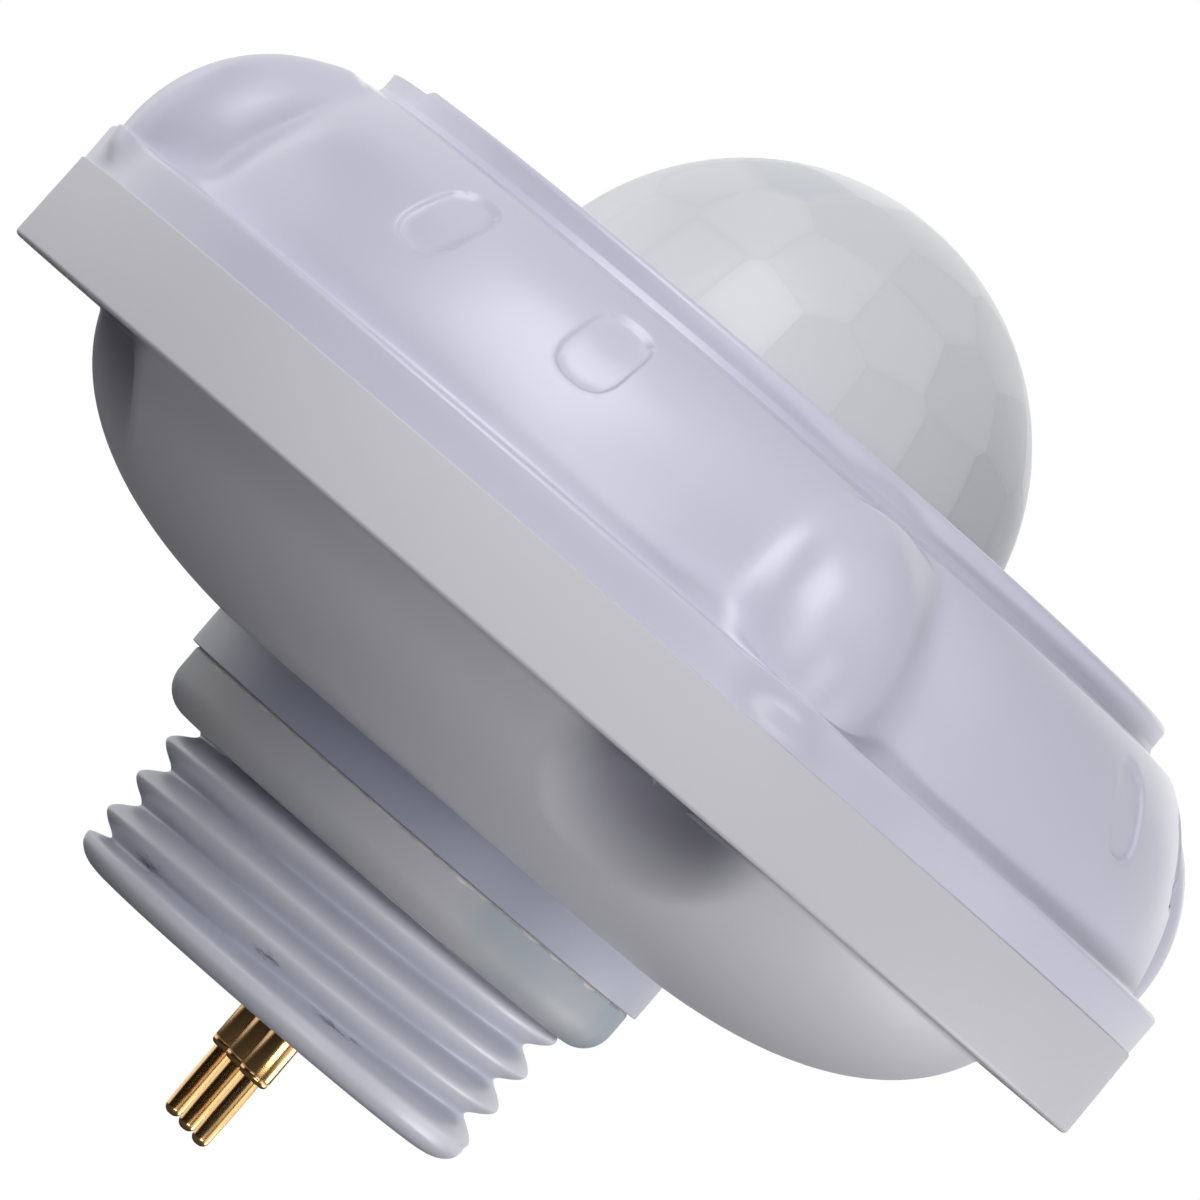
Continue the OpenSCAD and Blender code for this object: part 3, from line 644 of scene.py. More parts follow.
def sector_stops(size):
    """Angles at which the cover's mesh gets finer or coarser, with the steps up to the next one."""
    half = size.mark_width / 2 / MARK_RADIUS
    edge = size.mark_step / MARK_RADIUS
    cuts = {}
    for lobe in LOBES:
        cuts[lobe - LOBE_SPAN] = LOBE_STEPS
        cuts[lobe + LOBE_SPAN] = None
    for centre in MARKS:
        cuts.update({
            centre - MARK_REACH * half: 3, centre - 1.1 * half: 1, centre - half: 4,
            centre - half + edge: 7, centre + half - edge: 4, centre + half: 1,
            centre + 1.1 * half: 3, centre + MARK_REACH * half: None,
        })
    start = LOBES[0] - LOBE_SPAN
    order = sorted(((at - start) % FULL_TURN, steps) for at, steps in cuts.items())
    stops = []
    for i, (at, steps) in enumerate(order):
        if steps is None:
            ahead = order[i + 1][0] if i + 1 < len(order) else FULL_TURN
            steps = max(2, math.ceil(math.degrees(ahead - at) / COARSE_SECTOR))
        stops.append((at + start, steps))
    return stops + [(FULL_TURN + start, 0)]


def cover_plastic():
    return plastic("cover plastic", paint("cover"), 0.3, grain=0.06, mottle=0.01)


class SENSOR_OT_cover(bpy.types.Operator):
    """Builds the cover with its flange, shoulder, four lobes and eight debossed marks"""
    bl_idname = "sensor.cover"
    bl_label = "Cover"

    def execute(self, context):
        size = sizes("cover")
        table = shoulder_table(size)
        outer = cover_outline(size, table)
        middle, _ = mark_rows(size, table)
        rows = []
        for p in outer:
            run, off = nearest_run(table, Vector(p))
            rows.append((p[0], p[1], run if off < 0.05 else None))
        bm = bmesh.new()
        index = bm.verts.layers.int.new("row")
        spin_line(bm, outer + cover_inside(size), sector_stops(size), index=index)
        for vert in bm.verts:
            if not 0 < vert[index] <= len(rows):
                continue
            r, z, run = rows[vert[index] - 1]
            _, at = around_axis(vert.co)
            turn = min((turn_between(at, lobe) for lobe in LOBES), key=abs)
            if abs(turn) < LOBE_SPAN:
                r, z = lobe_surface(size, r, z, turn)
            elif run is not None:
                r, z, at = marked_point(size, table, middle, r, z, run, at)
            vert.co = ring_point(r, at, z)
        bm.verts.layers.int.remove(index)
        make_piece(bm, "cover_shell", ["cover"], cover_plastic(), sharp=60)
        return {"FINISHED"}


def marked_point(size, table, middle, r, z, run, at):
    """Place of a point of the shoulder, moved to a mark's outline and sunk where it is inside."""
    centre = min(MARKS, key=lambda a: abs(turn_between(at, a)))
    across = turn_between(at, centre) * MARK_RADIUS
    along = run - middle
    new_across, new_along, depth = mark_shape(size, across, along)
    if (new_across, new_along) == (across, along) and depth == 0:
        return r, z, at
    here = along_shoulder(table, middle + new_along)
    ahead = (along_shoulder(table, middle + new_along + 0.1) - here).normalized()
    at = centre + new_across / MARK_RADIUS
    return here.x - depth * ahead.y, here.y + depth * ahead.x, at


# Bezel

BEZEL_HOLE = 19.2
BEZEL_REBATE = 40.3


class SENSOR_OT_bezel(bpy.types.Operator):
    """Builds the ring that holds the lens, with its rounded edges and the notch for prying it off"""
    bl_idname = "sensor.bezel"
    bl_label = "Bezel"

    def execute(self, context):
        size = sizes("bezel")
        notch_r = size.radius - size.notch_width
        edge_z = size.top - size.edge
        corners = [
            (BEZEL_HOLE, BEZEL_REBATE), (OPENING, BEZEL_REBATE), (OPENING, size.seat),
            (size.radius - 0.1, size.seat), (size.radius + 0.55 * size.foot, size.seat - 0.15),
            (size.radius, size.seat + size.foot, 0.35), (size.radius, size.top, size.edge),
            (notch_r + 0.1, size.top), (notch_r, size.top), (28.0, size.top),
            (24.0, size.top), (BEZEL_HOLE, size.top, 0.3),
        ]
        edge = math.radians(0.5)
        start = size.notch_start
        end = start + size.notch_sweep
        stops = [(start, 1), (start + edge, 100), (end - edge, 1), (end, 300), (start + FULL_TURN, 0)]
        bm = bmesh.new()
        spin_line(bm, rounded(corners, step=12), stops)
        for vert in bm.verts:
            r, at = around_axis(vert.co)
            inside = edge * 0.9 < (at - start) % FULL_TURN < size.notch_sweep - edge * 0.9
            if inside and r > notch_r + 0.05 and vert.co.z > edge_z - 0.01:
                share = (vert.co.z - edge_z) / size.edge
                vert.co.z = edge_z + share * (size.edge - size.notch_depth)
        make_piece(bm, "lens_bezel_ring", ["lens_bezel"], cover_plastic(), sharp=35)
        return {"FINISHED"}


# Lens

LENS_WAVE = 12.9898
CELL_REACH = math.radians(34)
CELL_FLATNESS = 0.55
BORDER_WIDTH = 0.3
INNER_ROWS = 8
LENS_ROWS = ((19.5, 20, 0), (37.5, 15, 12), (54.2, 10, 18), (71.0, 5, 10), (90.0, 1, 0))


def cell_directions(turn):
    """Unit vector through the middle of each cell of the lens."""
    found = []
    for lift, count, offset in LENS_ROWS:
        level = math.radians(lift)
        for i in range(count):
            around = turn + math.radians(offset + i * 360 / count)
            found.append(ring_point(math.cos(level), around, math.sin(level)))
    return found


def lens_material():
    """Milky plastic, with each cell's flat inner face showing as its own tone and tilt."""
    base = paint("lens")
    material, shader = new_material("lens plastic", base, 0.4)
    tree = material.node_tree
    skin = add_node(tree, "Group", node_tree=moulded_group())
    dark, pale = tinted(base, 0.82, 0.87, 0.9), tinted(base, 1.03)
    cells = mix_colours(tree, attribute(tree, "cell_tone"), dark, pale)
    lined = mix_colours(tree, attribute(tree, "cell_border"), cells, tinted(base, 0.99, 0.99, 0.995))
    bump = add_node(tree, "Bump", {
        "Strength": 0.02, "Distance": GRAIN_DEPTH, "Height": skin.outputs["Height"],
        "Normal": attribute(tree, "cell_tilt", "Vector"),
    })
    values = {
        "Base Color": lined, "Normal": bump.outputs["Normal"], "Specular IOR Level": 0.22,
        "Coat Weight": 0.2, "Coat Roughness": 0.24, "Subsurface Weight": 0.3,
        "Subsurface Radius": (1.0, 0.95, 0.9), "Subsurface Scale": 0.0015,
    }
    for name, value in values.items():
        feed(tree, shader.inputs[name], value)
    return material


def cut_cells(bm, cells):
    """Cuts the dome's faces along the borders between neighbouring cells."""
    for a, b in itertools.combinations(cells, 2):
        if a.angle(b) > CELL_REACH:
            continue
        middle = (a + b).normalized()
        line = a - b
        near = {}
        for face in bm.faces:
            centre = face.calc_center_median()
            if abs(centre.dot(line)) >= 0.6 or centre.angle(middle) >= CELL_REACH / 2:
                continue
            best = sorted(cells, key=lambda c: -centre.normalized().dot(c))[:3]
            if a in best and b in best:
                near.update(dict.fromkeys([face, *face.edges, *face.verts]))
        if near:
            bmesh.ops.bisect_plane(bm, geom=list(near), dist=1e-5, plane_co=(0, 0, 0), plane_no=line)


class SENSOR_OT_lens(bpy.types.Operator):
    """Builds the domed lens with its 51 cells"""
    bl_idname = "sensor.lens"
    bl_label = "Lens"

    def execute(self, context):
        size = sizes("lens")
        cells = cell_directions(size.turn)
        bm = bmesh.new()
        bmesh.ops.create_icosphere(bm, subdivisions=6, radius=size.radius)
        cut_cells(bm, cells)
        low = size.flange_top - size.centre
        bmesh.ops.bisect_plane(bm, geom=bm.verts[:] + bm.edges[:] + bm.faces[:], dist=1e-5,
                               plane_co=(0, 0, low), plane_no=(0, 0, 1), clear_inner=True)
        for vert in bm.verts:
            if vert.co.z > low + 1e-4:
                vert.co = vert.co.normalized() * size.radius
        bmesh.ops.translate(bm, verts=bm.verts, vec=(0, 0, size.centre))
        add_lens_flange(bm, size, [edge for edge in bm.edges if edge.is_boundary])
        tidy_mesh(bm)
        mark_cells(bm, size, cells)
        make_piece(bm, "fresnel_lens_dome", ["fresnel_lens"], lens_material())
        return {"FINISHED"}


def add_lens_flange(bm, size, edges):
    """Flange under the bezel and the lens's inside, from the dome's lower edge to a closed bowl."""
    inner = size.radius - size.wall - 0.2
    start = math.asin((size.flange_low + 0.4 - size.centre) / inner)
    line = [
        (size.flange_radius, size.flange_top), (size.flange_radius, size.flange_low),
        (size.radius - size.wall - 0.6, size.flange_low),
    ]
    for k in range(INNER_ROWS):
        level = start + (math.pi / 2 - start) * k / INNER_ROWS
        line.append((inner * math.cos(level), size.centre + inner * math.sin(level)))
    for r, z in line:
        made = bmesh.ops.extrude_edge_only(bm, edges=edges)["geom"]
        edges = [part for part in made if isinstance(part, bmesh.types.BMEdge)]
        for vert in made:
            if isinstance(vert, bmesh.types.BMVert):
                vert.co = ring_point(r, around_axis(vert.co)[1], z)
    bmesh.ops.contextual_create(bm, geom=edges)


def mark_cells(bm, size, cells):
    """Gives each face of the dome its cell's tone and tilt, and each point near a border its share."""
    tone = bm.faces.layers.float.new("cell_tone")
    tilt = bm.faces.layers.float_vector.new("cell_tilt")
    border = bm.verts.layers.float.new("cell_border")
    centre = Vector((0, 0, size.centre))

    def outwards(point):
        """Direction of a point on the dome's outside, or nothing for any other."""
        away = point - centre
        return None if away.length < size.radius - 0.3 or away.z < 0 else away.normalized()

    for face in bm.faces:
        out = outwards(face.calc_center_median())
        face[tone], face[tilt] = 0.5, face.normal
        if out is not None:
            index = max(range(len(cells)), key=lambda i: out.dot(cells[i]))
            face[tone] = cell_tone(index)
            face[tilt] = out.lerp(cells[index], CELL_FLATNESS).normalized()
    for vert in bm.verts:
        out = outwards(vert.co)
        if out is not None:
            first, second = sorted((out.dot(cell) for cell in cells), reverse=True)[:2]
            vert[border] = 1 - smooth_step(0.0, BORDER_WIDTH, size.radius * (first - second) / 0.6)


def cell_tone(index):
    """How pale a cell is: most are about the same, and some are a little darker and bluer."""
    wave = math.sin(index * LENS_WAVE)
    return 0.8 + 0.2 * wave - 0.6 * smooth_step(-0.45, -0.8, wave)


# Housing

BOWL_ROWS = 52
RIM_ROWS = (40.0, 41.5, 43.0, 44.3, 45.3)
SEAM_GROOVE = 3.6
SCREW_WALL = 43.6
FLOOR_HOLE = 16.7
FLOOR_TOP = 9.4
HOLLOW_SPAN = math.radians(16)
FINE_STEP = 0.45
COARSE_STEP = 1.4
HOLLOW_SHADE = 0.8
SHADE_GROWTH = 1.5
SHADE_SOFT = 2.6


def bowl_line(size):
    return [
        (size.bowl_radius, size.rim), (size.bowl_radius - 1.8, size.rim - 4.6),
        (size.collar_radius + 11.6, size.floor + 0.9), (size.collar_radius, size.floor),
    ]


def ring_stops(centres, span, fine, coarse):
    """Sector stops with a fine mesh round each centre and a coarse one between, steps in degrees."""
    stops = []
    for centre, ahead in zip(centres, centres[1:] + [centres[0] + FULL_TURN]):
        stops.append((centre - span, math.ceil(math.degrees(2 * span) / fine)))
        stops.append((centre + span, math.ceil(math.degrees(ahead - centre - 2 * span) / coarse)))
    return stops + [(centres[0] - span + FULL_TURN, 0)]


def hollow_share(size, r, turn, radius, soft):
    """How far the bowl gives way at a screw: 0 on the bowl and 1 in the middle of the hollow."""
    off = math.hypot(r * math.cos(turn) - size.pocket_ring, r * math.sin(turn))
    return 1 - smooth_step(radius - soft, radius + soft, off)


def cut_away(bm, cutter):
    """Takes one closed mesh out of another."""
    body, tool = (mesh_object(part, name) for part, name in ((bm, "body"), (cutter, "cutter")))
    cut = body.modifiers.new("cut", "BOOLEAN")
    cut.operation = "DIFFERENCE"
    cut.solver = "EXACT"
    cut.object = tool
    result = bmesh.new()
    result.from_object(body, bpy.context.evaluated_depsgraph_get())
    for thing in (body, tool):
        mesh = thing.data
        bpy.data.objects.remove(thing)
        bpy.data.meshes.remove(mesh)
    return result


def screw_holes(size):
    """Four round plugs where the screw heads sit."""
    bm = bmesh.new()
    low, high = size.rim - 1, size.rim + size.sink_depth
    for place in screw_places(size, (low + high) / 2):
        bmesh.ops.create_cone(bm, cap_ends=True, segments=64, radius1=size.screw_sink,
                              radius2=size.screw_sink, depth=high - low, matrix=Matrix.Translation(place))
    return bm


def screw_places(size, z):
    return [ring_point(size.screw_ring, lobe, z) for lobe in LOBES]


def shade_hollows(material, base):
    """Darkens the deep part of the hollows, which lie in shade."""
    tree, socket, plain = painted(material)
    share = calculate(tree, "MULTIPLY", attribute(tree, "hollow"), HOLLOW_SHADE)
    feed(tree, socket, mix_colours(tree, share, plain, tinted(base, 0.2, 0.2, 0.26)))


class SENSOR_OT_housing(bpy.types.Operator):
    """Builds the lower housing: bowl, rim and the four hollows at the screws"""
    bl_idname = "sensor.housing"
    bl_label = "Lower housing"

    def execute(self, context):
        size = sizes("housing")
        control = bowl_line(size)
        bowl = [tuple(curve_point(control, 1 - i / BOWL_ROWS)) for i in range(BOWL_ROWS)]
        groove_z = size.seam - SEAM_GROOVE
        floor_z = size.rim + 3.1
        corners = [
            (size.collar_radius - 3.0, size.floor), *bowl, (size.bowl_radius, size.rim, 0.5),
            *((r, size.rim) for r in RIM_ROWS),
            (size.rim_radius, size.rim, 0.35), (size.rim_radius - size.rim_draft, size.seam, 0.12),
            (SCREW_WALL, size.seam), (SCREW_WALL, groove_z), (INNER_WALL, groove_z),
            (INNER_WALL, size.seam), (SEAL_WALL, size.seam), (SEAL_WALL, floor_z), (31.0, floor_z),
            (27.0, 11.5), (18.0, FLOOR_TOP), (FLOOR_HOLE, FLOOR_TOP), (FLOOR_HOLE, size.floor),
        ]
        bm = bmesh.new()
        index = bm.verts.layers.int.new("row")
        shade = bm.verts.layers.float.new("hollow")
        stops = ring_stops(LOBES, HOLLOW_SPAN, FINE_STEP, COARSE_STEP)
        spin_line(bm, rounded(corners), stops, index=index)
        for vert in bm.verts:
            if vert[index] < 2 or vert.co.z > size.rim + 0.001:
                continue
            r, at = around_axis(vert.co)
            turn = min((turn_between(at, lobe) for lobe in LOBES), key=abs)
            vert[shade] = hollow_share(size, r, turn, size.pocket_radius + SHADE_GROWTH, SHADE_SOFT)
            if vert[index] <= BOWL_ROWS + 1:
                share = hollow_share(size, r, turn, size.pocket_radius, size.pocket_soft)
                vert.co.z += (size.rim - 0.02 - vert.co.z) * share
        bm.verts.layers.int.remove(index)
        bm = cut_away(bm, screw_holes(size))
        shade = bm.verts.layers.float["hollow"]
        places = screw_places(size, size.rim)
        for vert in bm.verts:
            if any(math.dist(vert.co.xy, place.xy) < size.screw_sink + 0.02 for place in places):
                vert[shade] = 1
        material = plastic("housing plastic", paint("housing"), 0.5, grain=0.05, mottle=0.01)
        shade_hollows(material, paint("housing"))
        make_piece(bm, "lower_housing_shell", ["lower_housing"], material, sharp=40)
        return {"FINISHED"}


# Spigot and gasket

THREAD_PHASE = -4.89
THREAD_START = math.radians(-196.8)
THREAD_SLOPE = 1.65
# Painted shade: its strength in the thread's roots and on the collar, and the angle at which the collar is
# darkest.
GROOVE_SHADE = 0.6
COLLAR_SHADE = 0.62
COLLAR_SPREAD = 0.38
COLLAR_TURN = math.radians(-125)
THREAD_ROWS = 116
NUT_REACH = 6.4
ROUND_STEPS = 300
SOIL = (0.05, 0.05, 0.06)
SOIL_LIMITS = (0.88, 1.12)
STREAK_SCALE = 900
STREAK_FLATNESS = (1, 1, 5)
CLOUD_SCALE = 75
CLOUD_LIMITS = (0.45, 0.65)
FLASH = (0.62, 0.6, 0.58)
FLASH_SCALE = 700
FLASH_DEPTH = 0.0009
FLASH_LIMITS = (0.00018, 0.0003)
SMUDGES = (
    (-158, -8.8, 13, 0.7),
    (-114, -8.1, 8, 0.6),
    (-92, -8.8, 11, 0.45),
    (-83, -8.7, 5, 0.2),
    (-52, -7.8, 2.5, 0.25),
    (-54, -4.8, 1.5, 0.2),
)


def thread_radius(size, z, at):
    """Radius of the thread's skin at a height and an angle, with rounded crests and roots."""
    off = (z - THREAD_PHASE) / size.thread_pitch - (at - THREAD_START) / FULL_TURN
    off = abs(off - round(off)) * size.thread_pitch
    crest = size.thread_radius
    above = z + size.thread_length
    inset = 1 - min(above / size.end_height, 1)
    limit = size.end_radius + (crest - size.end_radius) * math.sqrt(1 - inset * inset)
    flank = crest + 0.5 - off * THREAD_SLOPE
    shape = soft_max(size.thread_root, soft_min(crest, flank, 0.9), 0.5)
    shape += (crest - 0.1 - shape) * (1 - smooth_step(1.6, 2.35, above))
    return soft_min(shape, limit, 0.25)


def smudge(at, z):
    """How much dirt sticks to the thread at an angle and a height, between 0 and 1."""
    most = 0.0
    for turn, height_z, wide, tall in SMUDGES:
        off_turn = turn_between(at, math.radians(turn)) / math.radians(wide)
        most = max(most, math.exp(-off_turn ** 2 - ((z - height_z) / tall) ** 2))
    return most


def shade_and_soil_thread(material, base):
    """Painted shade, bluish, in the thread's roots and on the collar, and dark smudges of dirt drawn out
    along the lowest turns of the thread.
    """
    tree, socket, plain = painted(material)
    cool = mix_colours(tree, attribute(tree, "groove"), plain, tinted(base, 0.5, 0.52, 0.6))
    flat = add_node(tree, "Mapping", {"Vector": own_place(tree), "Scale": STREAK_FLATNESS})
    streaks = noise(tree, flat.outputs["Vector"], STREAK_SCALE, 8, 0.75)
    total = calculate(tree, "MULTIPLY_ADD", attribute(tree, "soil"), 0.5, streaks)
    feed(tree, socket, mix_colours(tree, remap(tree, total, *SOIL_LIMITS), cool, SOIL))


class SENSOR_OT_spigot(bpy.types.Operator):
    """Builds the spigot with its thread"""
    bl_idname = "sensor.spigot"
    bl_label = "Threaded spigot"

    def execute(self, context):
        size = sizes("spigot")
        low = -size.thread_length
        top = size.floor + NUT_REACH
        rise = (size.thread_length - 0.1) / THREAD_ROWS
        thread = [(size.thread_radius, low + 0.02 + rise * i) for i in range(THREAD_ROWS + 1)]
        corners = [(size.bore_radius, low, 0.15), (size.thread_root - 0.6, low)] + thread + [
            (size.neck_radius, 0.3), (size.neck_radius, size.gasket_height),
            (size.collar_radius, size.gasket_height, 0.1), (size.collar_radius, size.floor),
            (size.thread_radius - 0.1, size.floor), (size.thread_radius - 0.1, top, 0.5),
            (size.bore_radius, top),
        ]
        bm = bmesh.new()
        spin_whole(bm, rounded(corners, step=20), ROUND_STEPS)
        groove = bm.verts.layers.float.new("groove")
        dirty = bm.verts.layers.float.new("soil")
        for vert in bm.verts:
            r, at = around_axis(vert.co)
            # Painted shade on the collar under the bowl: darkest on the side that faces COLLAR_TURN,
            # lighter on the far side.
            if vert.co.z > size.gasket_height:
                facing = math.cos(turn_between(at, COLLAR_TURN))
                vert[groove] = COLLAR_SHADE + COLLAR_SPREAD * facing
            if low + 0.01 < vert.co.z < 0 and abs(r - size.thread_radius) < 0.01:
                new_r = thread_radius(size, vert.co.z, at)
                vert.co.x *= new_r / r
                vert.co.y *= new_r / r
                # Painted shade in the thread's roots: the deeper the root, the darker and bluer.
                deep = (size.thread_radius - new_r) / (size.thread_radius - size.thread_root)
                vert[groove] = min(deep, 1) ** 1.5 * GROOVE_SHADE
                vert[dirty] = smudge(at, vert.co.z)
        material = plastic("spigot plastic", paint("spigot"), 0.38, grain=0.05, mottle=0.02)
        shade_and_soil_thread(material, paint("spigot"))
        make_piece(bm, "threaded_spigot_body", ["threaded_spigot"], material, sharp=60)
        return {"FINISHED"}


def cloud_gasket(material, base, top):
    """Cool clouds in the rubber and the pale ragged flash line at its upper edge."""
    tree, socket, plain = painted(material)
    place = own_place(tree)
    level = add_node(tree, "SeparateXYZ", {"Vector": place}).outputs["Z"]
    clouds = remap(tree, noise(tree, place, CLOUD_SCALE, 3), *CLOUD_LIMITS)
    cool = mix_colours(tree, clouds, plain, tinted(base, 0.72, 0.84, 0.88))
    ragged = noise(tree, place, FLASH_SCALE, 4)
    ragged = calculate(tree, "MULTIPLY_ADD", ragged, FLASH_DEPTH, level)
    flash = remap(tree, ragged, *(top + limit for limit in FLASH_LIMITS))
    feed(tree, socket, mix_colours(tree, flash, cool, FLASH))


class SENSOR_OT_gasket(bpy.types.Operator):
    """Builds the rubber gasket with its rolled lower edge"""
    bl_idname = "sensor.gasket"
    bl_label = "Gasket"

    def execute(self, context):
        size = sizes("spigot")
        corners = [
            (size.neck_radius + 0.05, size.gasket_height - 0.02), (size.neck_radius + 0.05, 0.9),
            (size.thread_radius + 0.05, 0.0), (size.gasket_radius, 0.0, size.gasket_curl),
            (size.gasket_radius, size.gasket_height - 0.01, 0.3),
        ]
        bm = bmesh.new()
        spin_whole(bm, rounded(corners, step=9), ROUND_STEPS)
        material = plastic("gasket rubber", paint("gasket"), 0.55, grain=0.08, mottle=0.03)
        cloud_gasket(material, paint("gasket"), size.gasket_height * MM)
        make_piece(bm, "spigot_gasket_ring", ["spigot_gasket"], material, sharp=50)
        return {"FINISHED"}


# Pins

PINS = ("centre", "middle", "outer")
PIN_STEPS = 64
SPRING_TURNS = 8
SPRING_BORE = 0.84
RING_TOP, RING_LOW, RING_WIDTH = -7.6, -8.1, 0.35
BARREL_TOP = -5.6
TAIL_TOP, TAIL_RADIUS = -4.0, 0.45
BORE_TOP = -6.4


def wind_wire(bm, radius, wire, low, high):
    """A round wire wound up between two heights, with closed ends."""
    sides, steps = 10, 32 * SPRING_TURNS
    made = bmesh.ops.create_grid(bm, x_segments=sides, y_segments=steps, size=1)
    for i, vert in enumerate(made["verts"]):
        step, side = divmod(i, sides + 1)
        at = FULL_TURN * SPRING_TURNS * step / steps
        around = FULL_TURN * side / sides
        middle = low + wire + (high - low - 2 * wire) * step / steps
        r = radius + wire * math.cos(around)
        vert.co = ring_point(r, at, middle + wire * math.sin(around))
    tidy_mesh(bm)
    bmesh.ops.holes_fill(bm, edges=[edge for edge in bm.edges if edge.is_boundary])
    bmesh.ops.recalc_face_normals(bm, faces=bm.faces)


def barrel_line(size):
    """Outline of a barrel: the crimped mouth, the ring, the thinner tail and the bore."""
    r, bore = size.barrel_radius, size.plunger_radius + 0.03
    return [
        (bore, size.mouth, 0.05), (r, size.mouth, 0.38), (r, size.mouth + 0.5),
        (r - 0.04, size.mouth + 0.56, 0.04), (r, size.mouth + 0.62), (r, RING_LOW),
        (r + RING_WIDTH, RING_LOW), (r + RING_WIDTH, RING_TOP), (r, RING_TOP), (r, BARREL_TOP),
        (TAIL_RADIUS, BARREL_TOP), (TAIL_RADIUS, TAIL_TOP, 0.1), (0, TAIL_TOP), (0, BORE_TOP),
        (SPRING_BORE, BORE_TOP), (SPRING_BORE, size.mouth + 0.4), (bore, size.mouth + 0.4),
    ]


def plunger_line(size):
    """Outline of a plunger: the rounded tip, the rod and the head under the spring."""
    r, head_r = size.plunger_radius, size.plunger_radius + 0.1
    low, high = size.mouth + 0.43, size.mouth + size.head
    return [
        (0, size.tip), (r - 0.07, size.tip, 0.56), (r, size.tip + 2.2), (r, low),
        (head_r, low), (head_r, high), (0, high),
    ]


class SENSOR_OT_pins(bpy.types.Operator):
    """Builds the three spring contacts: fixed barrels, sliding plungers and their springs"""
    bl_idname = "sensor.pins"
    bl_label = "Contact pins"

    def execute(self, context):
        size = sizes("pins")
        gold = metal("gold plating", paint("gold"), 0.24)
        steel = metal("spring steel", (0.55, 0.55, 0.54), 0.25)
        low, high = size.mouth + size.head, size.spring_top
        for i, name in enumerate(PINS):
            meshes = [bmesh.new() for _ in range(3)]
            barrel, plunger, wire = meshes
            spin_whole(barrel, rounded(barrel_line(size)), PIN_STEPS)
            rod = rounded(plunger_line(size), closed=False, step=12)
            spin_whole(plunger, rod, PIN_STEPS, closed=False)
            wind_wire(wire, size.coil_radius, size.wire_radius, low, high)
            for bm in meshes:
                bmesh.ops.translate(bm, verts=bm.verts, vec=(0, -i * size.pitch, 0))
            make_piece(barrel, "barrel_" + name + "_tube", ["barrel_" + name], gold, sharp=50)
            make_piece(plunger, "plunger_" + name + "_rod", ["plunger_" + name], gold,
                       body="contact_" + name, sharp=50)
            spring = make_piece(wire, "spring_" + name + "_wire", ["spring_" + name],
                                steel)
            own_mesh(spring)
        return {"FINISHED"}


# Nodes that keep their shape

INNER_FINISHES = (
    (plastic, "seal rubber", (0.03, 0.03, 0.033), 0.6, ("lens_seal", "housing_seal")),
    (metal, "screw steel", (0.62, 0.62, 0.63), 0.3,
     ("housing_screws", "board_screws", "sensor_board_screws")),
    (plastic, "nylon", (0.8, 0.8, 0.78), 0.4, ("spigot_nut", "pin_carrier")),
    (plastic, "blue insulation", (0.04, 0.12, 0.5), 0.35, ("lead_neutral",)),
    (plastic, "red insulation", (0.5, 0.03, 0.02), 0.35, ("lead_switched",)),
    (plastic, "black insulation", (0.012, 0.012, 0.012), 0.35, ("lead_live",)),
    (plastic, "terminal plastic", (0.03, 0.21, 0.07), 0.35, ("lead_terminal",)),
    (plastic, "board laminate", (0.01, 0.1, 0.03), 0.3, ("main_board", "sensor_board")),
    (plastic, "relay case", (0.012, 0.07, 0.27), 0.3, ("relay",)),
    (plastic, "capacitor sleeve", (0.012, 0.012, 0.016), 0.25, ("storage_capacitor",)),
    (plastic, "film case", (0.6, 0.38, 0.02), 0.3, ("dropper_capacitor",)),
    (plastic, "varistor coat", (0.02, 0.1, 0.45), 0.35, ("varistor",)),
    (plastic, "fuse case", (0.07, 0.035, 0.02), 0.35, ("fuse",)),
    (plastic, "connector plastic", (0.01, 0.01, 0.011), 0.4, ("link_socket", "link_header")),
    (metal, "nickel can", (0.5, 0.48, 0.43), 0.3, ("pir_can",)),
    (plastic, "infrared window", (0.012, 0.012, 0.02), 0.12, ("pir_window",)),
    (plastic, "clear epoxy", (0.7, 0.75, 0.8), 0.08, ("light_sensor",)),
    (plastic, "chip epoxy", (0.01, 0.01, 0.011), 0.45, ("controller_chip",)),
)


class SENSOR_OT_insides(bpy.types.Operator):
    """Gives the carried-over parts inside and under the housing their finishes"""
    bl_idname = "sensor.insides"
    bl_label = "Inner parts"

    def execute(self, context):
        for kind, label, base, roughness, names in INNER_FINISHES:
            material = kind(label, base, roughness)
            for name in names:
                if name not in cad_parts:
                    raise RuntimeError("no such node: " + name)
                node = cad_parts[name]
                if not node.material_slots:
                    node.data.materials.append(material)
                for slot in node.material_slots:
                    slot.material = material
        return {"FINISHED"}


# Stage

CAMERA_TURN = math.radians(-16.8)
CAMERA_ROLL = math.radians(40.7)
CAMERA_DISTANCE = 0.788
CAMERA_HEIGHT = 0.014
FOCAL_LENGTH = 355.3
SENSOR_WIDTH = 36
AIM_HEIGHT = 0.02385
AIM_SIDE = -0.00057
FLOOR_HEIGHT = -0.35
FLOOR_REACH = 2.5
FLOOR_TONE = 0.15
FLOOR_GLOW = 0.9
WORLD_FILL = 0.04
LAMP_DISTANCE = 0.75
LAMPS = (
    ("key", -46, 45, 0.42, 2.9),
    ("key_front", -20, 25, 0.4, 1.0),
    ("front_right", 30, 10, 0.4, 1.1),
    ("right", 75, -10, 0.4, 0.6),
    ("bounce_front", 26, -38, 0.4, 7.0),
    ("bounce_right", 109, -25, 0.4, 3.5),
    ("left_back", -116, 5, 0.6, 1.5),
    ("back", 170, 25, 0.5, 0.5),
)
CARD_SIZE = 2.2
CARD_DISTANCE = 1.0
CARDS = (12, -84)


